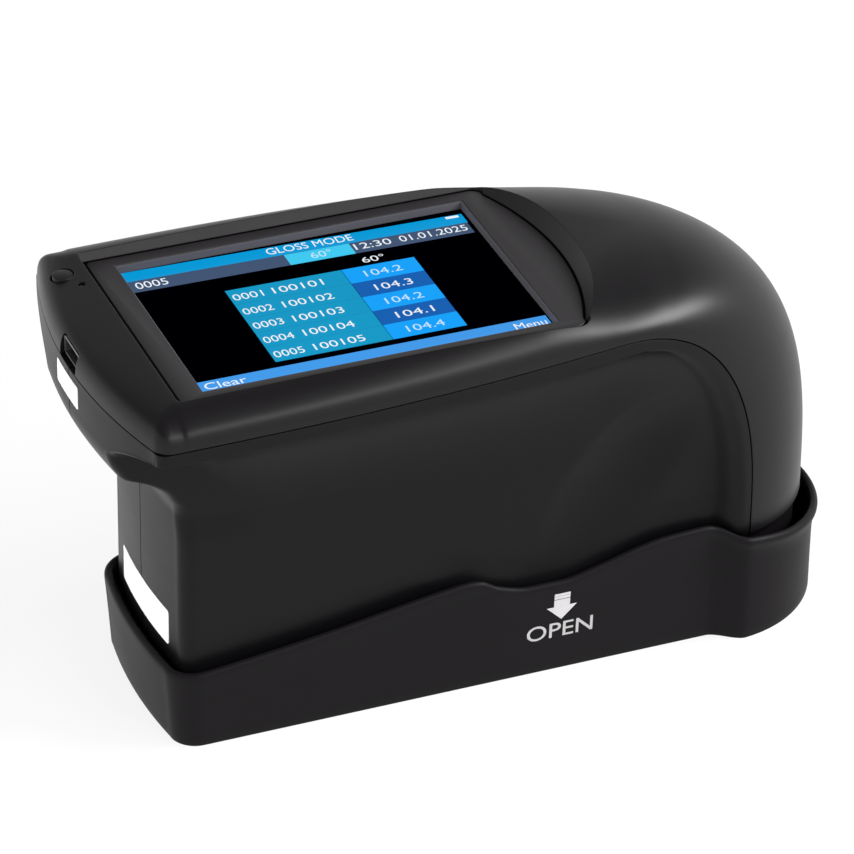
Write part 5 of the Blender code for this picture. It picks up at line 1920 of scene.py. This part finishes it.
@dataclass(frozen=True)
class Controls:
    """Power key, status lamp, measuring key and USB socket, with their holes."""

    power: Flat = (-0.07435, 0.0242)
    power_radius: float = 0.0021
    power_clearance: float = 0.0003
    power_shift: float = 0.00027
    lamp: Flat = (-0.07205, 0.0188)
    lamp_radius: float = 0.0005
    measure: Flat = (-0.0120, 0.0655)
    measure_radius: float = 0.0050
    usb_y: float = 0.0010
    usb_width: float = 0.0080
    usb_height: float = 0.0031
    usb_z: float = 0.0828
    usb_depth: float = 0.0090
    usb_shell: float = 0.0004
    usb_back: float = 0.0010
    usb_corner: float = 0.0006
    usb_foot_x: float = -0.0745
    tongue_share: Flat = (0.34, 0.80)
    tongue_z: Flat = (-0.0003, 0.0005)
    tongue_edge: float = 0.0001
    # Each key's rounded edge and the dish of its face, which is negative where it domes.
    power_face: Flat = (0.00012, -0.00008)
    measure_face: Flat = (0.0006, 0.0003)
    lamp_face: Flat = (0.00015, -0.00010)
    past: float = 0.006

    def holes(self) -> list[Form]:
        """Holes of the cover for the lamp, the power key and the socket.

        Returns:
            The forms to cut away.
        """
        plate_z = Display().plate_z
        lamp = Form.pin(self.lamp_radius + FORM.gap, -self.past, self.past, 32)
        key = Form.pin(self.power_radius + self.power_clearance, -self.past, self.past, 56)
        mouth, room = FORM.head_end_x + self.usb_back, self.usb_shell + FORM.gap
        half_y, half_z = self.usb_width / 2 + room, self.usb_height / 2 + room
        port = Form.block(
            (FORM.head_end_x - 0.003, self.usb_y - half_y, self.usb_z - half_z),
            (mouth + self.usb_depth + 0.002, self.usb_y + half_y, self.usb_z + half_z),
        )
        return [
            lamp.moved(Matrix.Translation((*self.lamp, plate_z))),
            key.moved(Matrix.Translation((*self.power, plate_z))),
            port.bevel(port.lengthwise(), self.usb_corner, 4),
        ]

    def measure_hole(self) -> Form:
        """Hole of the far shell for the measuring key.

        Returns:
            The form to cut away.
        """
        hole = Form.pin(self.measure_radius + self.power_clearance, -self.past, self.past, 64)
        place = Matrix.Translation((self.measure[0], FORM.grip_half_width, self.measure[1]))
        return hole.moved(place @ Matrix.Rotation(-math.pi / 2, 4, "X"))

    @staticmethod
    def dished(radius: float, height: float, round_edge: float, dish: float) -> Form:
        """Round key with a rounded edge and a dished or, with a negative dish, domed face.

        Args:
            radius: the key's radius.
            height: its height.
            round_edge: radius of its upper edge.
            dish: depth of the face's middle.

        Returns:
            The form, standing at height 0.
        """
        profile = [(radius * 0.82 * i / 8, height - dish * (1 - (i / 8) ** 2)) for i in range(9)]
        for i in range(1, 7):
            angle = math.pi / 2 * i / 6
            profile.append((
                radius - round_edge * (1 - math.sin(angle)), height - round_edge * (1 - math.cos(angle)),
            ))
        profile += [(radius, 0.0), (0.0, 0.0)]
        return Form.turned(profile, 72)

    def build(self, key: bpy.types.Material, lamp: bpy.types.Material, metal: bpy.types.Material,
              liner: bpy.types.Material) -> None:
        """Make the keys, the lamp and the socket.

        Args:
            key: the keys' finish.
            lamp: the lamp's finish.
            metal: finish of the socket's shell.
            liner: finish of its tongue.
        """
        low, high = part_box("power_button")
        self.dished(self.power_radius, high.z - low.z, *self.power_face).moved(
            Matrix.Translation((self.power[0], self.power[1] - self.power_shift, low.z))
        ).piece("power_cap", key, Body.POWER_KEY, "key", ("power_button",))
        low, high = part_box("measure_button")
        turn = Matrix.Rotation(-math.pi / 2, 4, "X")
        self.dished(self.measure_radius, high.y - low.y, *self.measure_face).moved(
            Matrix.Translation((self.measure[0], low.y, self.measure[1])) @ turn
        ).piece("measure_cap", key, Body.MEASURE_KEY, "key", ("measure_button",))
        low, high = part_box("status_lamp")
        self.dished(self.lamp_radius, high.z - low.z, *self.lamp_face).moved(
            Matrix.Translation((*self.lamp, low.z))
        ).piece("lamp_lens", lamp, Body.METER, "lamp", ("status_lamp",))
        self.socket().piece("usb_shell", metal, Body.METER, "socket_metal", ("usb_socket",))
        mouth, half = FORM.head_end_x + self.usb_back, self.usb_width * self.tongue_share[0]
        tongue = Form.block(
            (mouth + self.usb_back, self.usb_y - half, self.usb_z + self.tongue_z[0]),
            (mouth + self.usb_depth * self.tongue_share[1], self.usb_y + half, self.usb_z + self.tongue_z[1]),
            self.tongue_edge,
        )
        tongue.piece("usb_tongue", liner, Body.METER, "inner_plastic")

    def socket(self) -> Form:
        """Pressed metal shell of the socket, with its foot on the board.

        Returns:
            The form.
        """
        low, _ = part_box("usb_socket")
        mouth, depth = FORM.head_end_x + self.usb_back, self.usb_depth
        forms = []
        for wall, back, radius in ((self.usb_shell, 0.0, 0.0007), (0.0, depth * 0.2, 0.0004)):
            half_y, half_z = self.usb_width / 2 + wall, self.usb_height / 2 + wall
            start = mouth if wall else mouth - 0.001
            form = Form.block(
                (start, self.usb_y - half_y, self.usb_z - half_z),
                (mouth + depth - back, self.usb_y + half_y, self.usb_z + half_z),
            )
            forms.append(form.bevel(form.lengthwise(), radius, 4))
        shell, cavity = forms
        foot = Form.block(
            (self.usb_foot_x, self.usb_y - self.usb_width / 3, low.z),
            (mouth + depth - 0.0005, self.usb_y + self.usb_width / 3, self.usb_z - self.usb_height / 2),
        )
        return shell.combine(foot, Cut.JOIN).without(cavity)


@dataclass(frozen=True)
class Label:
    """Thin paper label laid on a front face that bows in plan."""

    name: str
    low_y: float
    high_y: float
    low_z: float
    high_z: float
    corner: float = 0.0006
    thickness: float = 0.00012

    def build(self, paper: bpy.types.Material, face: Callable[[float], float]) -> None:
        """Make the label on a face whose middle place is given for each height.

        Args:
            paper: its finish.
            face: gives the face's place on the middle plane for each height.
        """
        middle = face((self.low_z + self.high_z) / 2)
        rows = []
        span = self.high_y - self.low_y
        shares = [0.0, 0.15, 0.5, 1.0]
        places = [self.low_y + self.corner * s for s in shares]
        places += [self.low_y + self.corner + (span - 2 * self.corner) * i / 20 for i in range(1, 20)]
        places += [self.high_y - self.corner * s for s in reversed(shares)]
        for y in places:
            edge = min(y - self.low_y, self.high_y - y, self.corner) / self.corner
            trim = self.corner * (1 - math.sqrt(1 - (1 - edge) ** 2))
            x = middle + FORM.bow * y * y
            low, high = self.low_z + trim, self.high_z - trim
            out = x - self.thickness
            rows.append([(out, y, low), (out, y, high), (x + 0.00005, y, high), (x + 0.00005, y, low)])
        Form.skin(rows).piece(self.name, paper, Body.METER)


@dataclass(frozen=True)
class PrintedMark:
    """Arrow and word printed on the tray's near side."""

    arrow_x: float = 0.01540
    arrow_half: float = 0.00335
    shaft_half: float = 0.00176
    tip_z: float = 0.0127
    shoulder_z: float = 0.0160
    shaft_top_z: float = 0.01772
    bars: tuple[Flat, ...] = ((0.01787, 0.01857), (0.01864, 0.01927))
    word: str = "OPEN"
    word_x: Flat = (0.00788, 0.02255)
    word_z: Flat = (0.0083, 0.0120)
    word_weight: float = 0.004
    ink: float = 0.00003
    depth: float = 0.00012
    strips: tuple[int, float, float] = (11, 0.0120, 0.0008)

    def laid(self, form: Form, tray: Tray) -> Form:
        """Wrap a flat form of (x, z) points round the tray's side, as a thin layer.

        Args:
            form: the flat form.
            tray: the tray that it is printed on.

        Returns:
            The form itself.
        """
        for vert in form.bm.verts:
            x, z = vert.co.x, vert.co.y
            vert.co = (x, tray.side_y(x, z) - self.ink, z)
        faces = list(form.bm.faces)
        made = bmesh.ops.extrude_face_region(form.bm, geom=faces)
        new = [v for v in made["geom"] if isinstance(v, bmesh.types.BMVert)]
        bmesh.ops.translate(form.bm, vec=(0, self.depth, 0), verts=new)
        return form.outward()

    def flat(self, *shapes: Sequence[Flat]) -> Form:
        """Flat form from the corners of its convex shapes, cut into strips so that it can bend.

        Args:
            shapes: the corners (x, z) of each shape.

        Returns:
            The form.
        """
        form = Form()
        for corners in shapes:
            verts = [form.bm.verts.new((x, z, 0)) for x, z in corners]
            bmesh.ops.contextual_create(form.bm, geom=verts)
        count, start, height = self.strips
        for step in range(1, count + 1):
            level = start + height * step
            bmesh.ops.bisect_plane(
                form.bm, geom=list(form.bm.verts) + list(form.bm.edges) + list(form.bm.faces),
                plane_co=(0, level, 0), plane_no=(0, 1, 0),
            )
        return form

    def build(self, ink: bpy.types.Material, worn: bpy.types.Material, tray: Tray) -> None:
        """Make the arrow and the word.

        Args:
            ink: the arrow's finish.
            worn: the word's finish.
            tray: the tray that they are printed on.
        """
        x, half, shaft = self.arrow_x, self.arrow_half, self.shaft_half
        arrow = self.flat(
            [(x, self.tip_z), (x + half, self.shoulder_z), (x - half, self.shoulder_z)],
            [(x - shaft, self.shoulder_z), (x + shaft, self.shoulder_z), (x + shaft, self.shaft_top_z),
             (x - shaft, self.shaft_top_z)],
        )
        self.laid(arrow, tray).piece("mark_arrow", ink, Body.BASE)
        for number, (low, high) in enumerate(self.bars, 1):
            bar = self.flat([(x - shaft, low), (x + shaft, low), (x + shaft, high), (x - shaft, high)])
            self.laid(bar, tray).piece(f"mark_bar_{number}", ink, Body.BASE)
        width, height = self.word_x[1] - self.word_x[0], self.word_z[1] - self.word_z[0]
        corner = Matrix.Translation((self.word_x[0], self.word_z[0], 0))
        place = corner @ Matrix.Diagonal((width, height, 1, 1))
        word = Page.lettering(self.word, self.word_weight).moved(place)
        self.laid(word, tray).piece("mark_word", worn, Body.BASE)


# Inside and underside.


class Inside:
    """Pieces of the part that keep their own meshes, and the screws underneath."""

    SCREW_COUNT = 4
    HEAD_HEIGHT, SHANK_RADIUS = 0.0012, 0.0012

    def __init__(self, finishes: dict[str, bpy.types.Material]) -> None:
        """Keep the finishes by the name of the node that they dress."""
        self.finishes = finishes

    def build(self, nodes: dict[str, bpy.types.Object], steel: bpy.types.Material) -> None:
        """Dress the nodes and make the bottom screws.

        Args:
            nodes: the frame's nodes, by name.
            steel: the screws' finish.
        """
        for name, material in self.finishes.items():
            mesh = nodes[name].data
            mesh.materials.clear()
            mesh.materials.append(material)
            LOG.info("%s: dressed", name)
        turn = Matrix.Rotation(math.pi, 4, "X")
        for number in range(1, self.SCREW_COUNT + 1):
            low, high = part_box(f"bottom_screw_{number}")
            center = (low + high) / 2
            screw = Screw((high.x - low.x) / 2, self.HEAD_HEIGHT, self.SHANK_RADIUS, high.z - low.z).form()
            screw.moved(Matrix.Translation((center.x, center.y, low.z)) @ turn).piece(
                f"underside_screw_{number}", steel, Body.METER, "steel", (f"bottom_screw_{number}",)
            )


# Studio.


@dataclass(frozen=True)
class Lamp:
    """Soft area lamp: its name, the way towards it, how far it is, its size and its watts."""

    name: str
    direction: Point
    distance: float
    size: Flat
    power: float
    mirrored_in_gloss: bool = True

    def build(self, lit: Point) -> None:
        """Make the lamp.

        Args:
            lit: the place that it faces.
        """
        data = bpy.data.lights.new(self.name, "AREA")
        data.shape, data.energy = "RECTANGLE", self.power
        data.size, data.size_y = self.size
        lamp = bpy.data.objects.new(self.name, data)
        way = Vector(self.direction).normalized()
        lamp.location = Vector(lit) + way * self.distance
        lamp.rotation_mode = "QUATERNION"
        lamp.rotation_quaternion = way.to_track_quat("Z", "Y")
        lamp.visible_glossy = self.mirrored_in_gloss
        bpy.context.scene.collection.objects.link(lamp)


@dataclass(frozen=True)
class Studio:
    """Pale floor, soft lamps and the camera at the photograph's angle."""

    azimuth: float = -22.41
    elevation: float = 32.14
    roll: float = 0.92
    distance: float = 1.123
    focal_length: float = 233.8
    shift: Flat = (0.0187, 0.0078)
    target: Point = (-0.02535, 0.0, 0.045)
    sensor: float = 36.0
    clip: Flat = (0.05, 20.0)
    lit: Point = (0.0, 0.0, 0.05)
    floor_half: float = 3.0
    seen_share: float = 0.8
    sky: tuple[Flat, ...] = ((0.0, 1.0), (0.28, 0.92), (0.50, 0.34), (0.68, 0.18), (1.0, 0.24))
    lamps: tuple[Lamp, ...] = (
        Lamp("key_lamp", (0.76, -0.27, 0.58), 0.9, (0.50, 0.28), 10.0),
        Lamp("strip_lamp", (0.36, -0.77, 0.53), 1.0, (0.70, 0.22), 3.0),
        Lamp("left_lamp", (-0.90, -0.10, 0.42), 1.0, (0.9, 0.6), 7.5, False),
        Lamp("front_lamp", (0.15, -0.85, 0.50), 1.2, (1.0, 0.6), 4.0, False),
    )

    def camera(self) -> None:
        """Place the camera."""
        a, e, r = map(math.radians, (self.azimuth, self.elevation, self.roll))
        back = Vector((math.sin(a) * math.cos(e), -math.cos(a) * math.cos(e), math.sin(e)))
        level = (-back).cross(Vector((0, 0, 1))).normalized()
        upright = level.cross(-back)
        right = math.cos(r) * level + math.sin(r) * upright
        up = math.cos(r) * upright - math.sin(r) * level
        place = Vector(self.target) + back * self.distance + right * self.shift[0] + up * self.shift[1]
        data = bpy.data.cameras.new("camera")
        data.lens, data.sensor_width = self.focal_length, self.sensor
        data.clip_start, data.clip_end = self.clip
        camera = bpy.data.objects.new("camera", data)
        matrix = Matrix((right, up, back)).transposed().to_4x4()
        matrix.translation = place
        camera.matrix_world = matrix
        bpy.context.scene.collection.objects.link(camera)
        bpy.context.scene.camera = camera

    def floor(self) -> None:
        """Pale floor that shows white and keeps the object's shadow."""
        board = Board("studio_floor")
        path = board.node("ShaderNodeLightPath")
        # The camera sees a share of plain floor, which keeps the object's shadow in the picture.
        seen = (
            Wire(board, path.outputs["Is Camera Ray"]) * self.seen_share
            + Wire(board, path.outputs["Is Glossy Ray"]) + Wire(board, path.outputs["Is Transmission Ray"])
        ).held()
        dust = board.noise(0.08, 2.0)
        board.set(
            Base_Color=board.blend(dust, (0.84, 0.84, 0.84, 1), (0.86, 0.86, 0.86, 1)),
            Roughness=0.9, Specular_IOR_Level=0.0,
        )
        glow = board.node("ShaderNodeEmission", {}, {"Color": (1, 1, 1, 1), "Strength": 1.0})
        mixed = board.node(
            "ShaderNodeMixShader", {}, {0: seen, 1: board.shader.outputs[0], 2: glow.outputs[0]},
        )
        board.feed(board.tree.nodes["Material Output"].inputs["Surface"], mixed.outputs[0])
        form = Form()
        bmesh.ops.create_grid(form.bm, x_segments=2, y_segments=2, size=self.floor_half)
        mesh = bpy.data.meshes.new("studio_floor")
        form.bm.to_mesh(mesh)
        form.bm.free()
        mesh.materials.append(board.owner)
        obj = bpy.data.objects.new("studio_floor", mesh)
        bpy.context.scene.collection.objects.link(obj)

    def surroundings(self) -> None:
        """White backdrop near the horizon that turns to a soft grey overhead."""
        board = Board("studio", of_world=True)
        bpy.context.scene.world = board.owner
        stops = [(height, (level, level, level, 1)) for height, level in self.sky]
        ramp = board.node("ShaderNodeValToRGB", {"stops": stops}, {0: board.part("Z")})
        path = board.node("ShaderNodeLightPath")
        seen = Wire(board, path.outputs["Is Camera Ray"])
        board.set(Color=board.blend(seen, ramp.outputs[0], (1, 1, 1, 1)), Strength=1.0)

    def build(self) -> None:
        """Set the whole studio up."""
        self.camera()
        self.floor()
        self.surroundings()
        for lamp in self.lamps:
            lamp.build(self.lit)
        bpy.context.scene.view_settings.view_transform = "Standard"


# The whole.


def finishes() -> dict[str, bpy.types.Material]:
    """All finishes by name.

    Returns:
        The materials, by name.
    """
    made = [
        MouldedPlastic("shell_plastic", srgb(15, 13, 15), 0.35, 0.25),
        MouldedPlastic("housing_plastic", srgb(9, 8, 10), 0.38, 0.18),
        MouldedPlastic("base_plastic", srgb(18, 16, 18), 0.46, 0.09),
        MouldedPlastic("plate_film", srgb(34, 32, 34), 0.50, 0.34, 0.00022, 0.000004),
        MouldedPlastic("key_plastic", srgb(15, 13, 15), 0.35, 0.25),
        # Pale grey finish that paints the light on the wall inside the display's window.
        MouldedPlastic("gasket_rubber", srgb(76, 74, 79), 0.60, 0.2),
        # Near-black finish that paints the shade in the groove round the display plate.
        MouldedPlastic("seal_rubber", srgb(3, 3, 3), 0.80, 0.02),
        MouldedPlastic("inner_plastic", srgb(60, 60, 61), 0.50, 0.4, 0.0005),
        MouldedPlastic("optics_black", srgb(26, 26, 27), 0.70, 0.3, 0.0004, 0.00002),
        MouldedPlastic("holder_plastic", srgb(30, 30, 31), 0.52, 0.4, 0.0004),
        PanelGlass("screen_black", srgb(0, 0, 2), 0.12, 0.0),
        PanelGlass("tile_glass", srgb(8, 8, 9), 0.02, 0.6, 0.3),
        PanelGlass("lamp_dark", srgb(20, 20, 22), 0.22, 0.4),
        TurnedMetal("screw_steel", (0.56, 0.56, 0.57, 1), 0.28),
        TurnedMetal("socket_metal", (0.30, 0.30, 0.31, 1), 0.42, (6.0, 1.0, 1.0)),
        TurnedMetal("module_metal", (0.58, 0.58, 0.56, 1), 0.36, (8.0, 1.0, 1.0)),
        TurnedMetal("switch_metal", (0.50, 0.50, 0.49, 1), 0.38),
        TurnedMetal("emitter_metal", (0.42, 0.42, 0.43, 1), 0.36),
        Paper("label_paper", srgb(246, 245, 246)),
        PrintInk("print_white", srgb(186, 184, 187)),
        PrintInk("print_worn", srgb(170, 168, 170)),
        CircuitBoard("circuit_board", (0.012, 0.10, 0.045, 1)),
        ShrinkWrap("battery_wrap", srgb(52, 74, 130)),
        ClearLens("lens_glass"),
        ScreenGlow("glow_title", srgb(0, 152, 214)),
        ScreenGlow("glow_slate", srgb(62, 82, 113)),
        ScreenGlow("glow_tab", srgb(60, 200, 240)),
        ScreenGlow("glow_soft_keys", srgb(62, 152, 232)),
        ScreenGlow("glow_names", srgb(0, 150, 196)),
        ScreenGlow("glow_names_line", srgb(0, 128, 176)),
        ScreenGlow("glow_light_value", srgb(0, 160, 250)),
        ScreenGlow("glow_dark_value", srgb(0, 92, 176)),
        ScreenGlow("glow_figures", srgb(238, 244, 250)),
        ScreenGlow("glow_pale_figures", srgb(190, 228, 250)),
    ]
    return {finish.name: finish.make() for finish in made}


def main() -> None:
    """Load the frame, then build the studio and every piece in order."""
    logging.basicConfig(level=logging.INFO, format="%(message)s")
    for obj in list(bpy.data.objects):
        bpy.data.objects.remove(obj)
    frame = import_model()
    paint = finishes()
    Studio().build()
    tray = Tray()
    tray.build(paint["base_plastic"])
    Tile().build(paint["tile_glass"], paint["screw_steel"])
    Cover().build(paint["shell_plastic"])
    housing = Housing()
    housing.build(paint["housing_plastic"])
    # The last two finishes paint the light on the window's wall and the shade in the groove round the plate.
    Display().build(paint["plate_film"], paint["screen_black"], paint["gasket_rubber"],
                    paint["seal_rubber"])
    Page({name[5:]: material for name, material in paint.items() if name.startswith("glow_")}).build()
    Controls().build(paint["key_plastic"], paint["lamp_dark"], paint["socket_metal"], paint["inner_plastic"])
    Label("neck_label", -0.0140, 0.0124, 0.0200, 0.0280).build(paint["label_paper"], housing.face_x)
    Label("socket_label", -0.0050, 0.0076, 0.0735, 0.0785, 0.0004).build(paint["label_paper"], housing.face_x)
    PrintedMark().build(paint["print_white"], paint["print_worn"], tray)
    Inside({
        "tile_holder": paint["holder_plastic"], "lcd_module": paint["module_metal"],
        "main_board": paint["circuit_board"], "chassis": paint["inner_plastic"],
        "battery": paint["battery_wrap"], "optical_block": paint["optics_black"],
        "source_lens": paint["lens_glass"], "receiver_lens": paint["lens_glass"],
        "light_source": paint["emitter_metal"], "light_detector": paint["emitter_metal"],
        "bottom_plate": paint["holder_plastic"], "power_switch": paint["switch_metal"],
        "measure_switch": paint["switch_metal"],
    }).build(frame["nodes"], paint["screw_steel"])


if __name__ == "__main__":
    main()
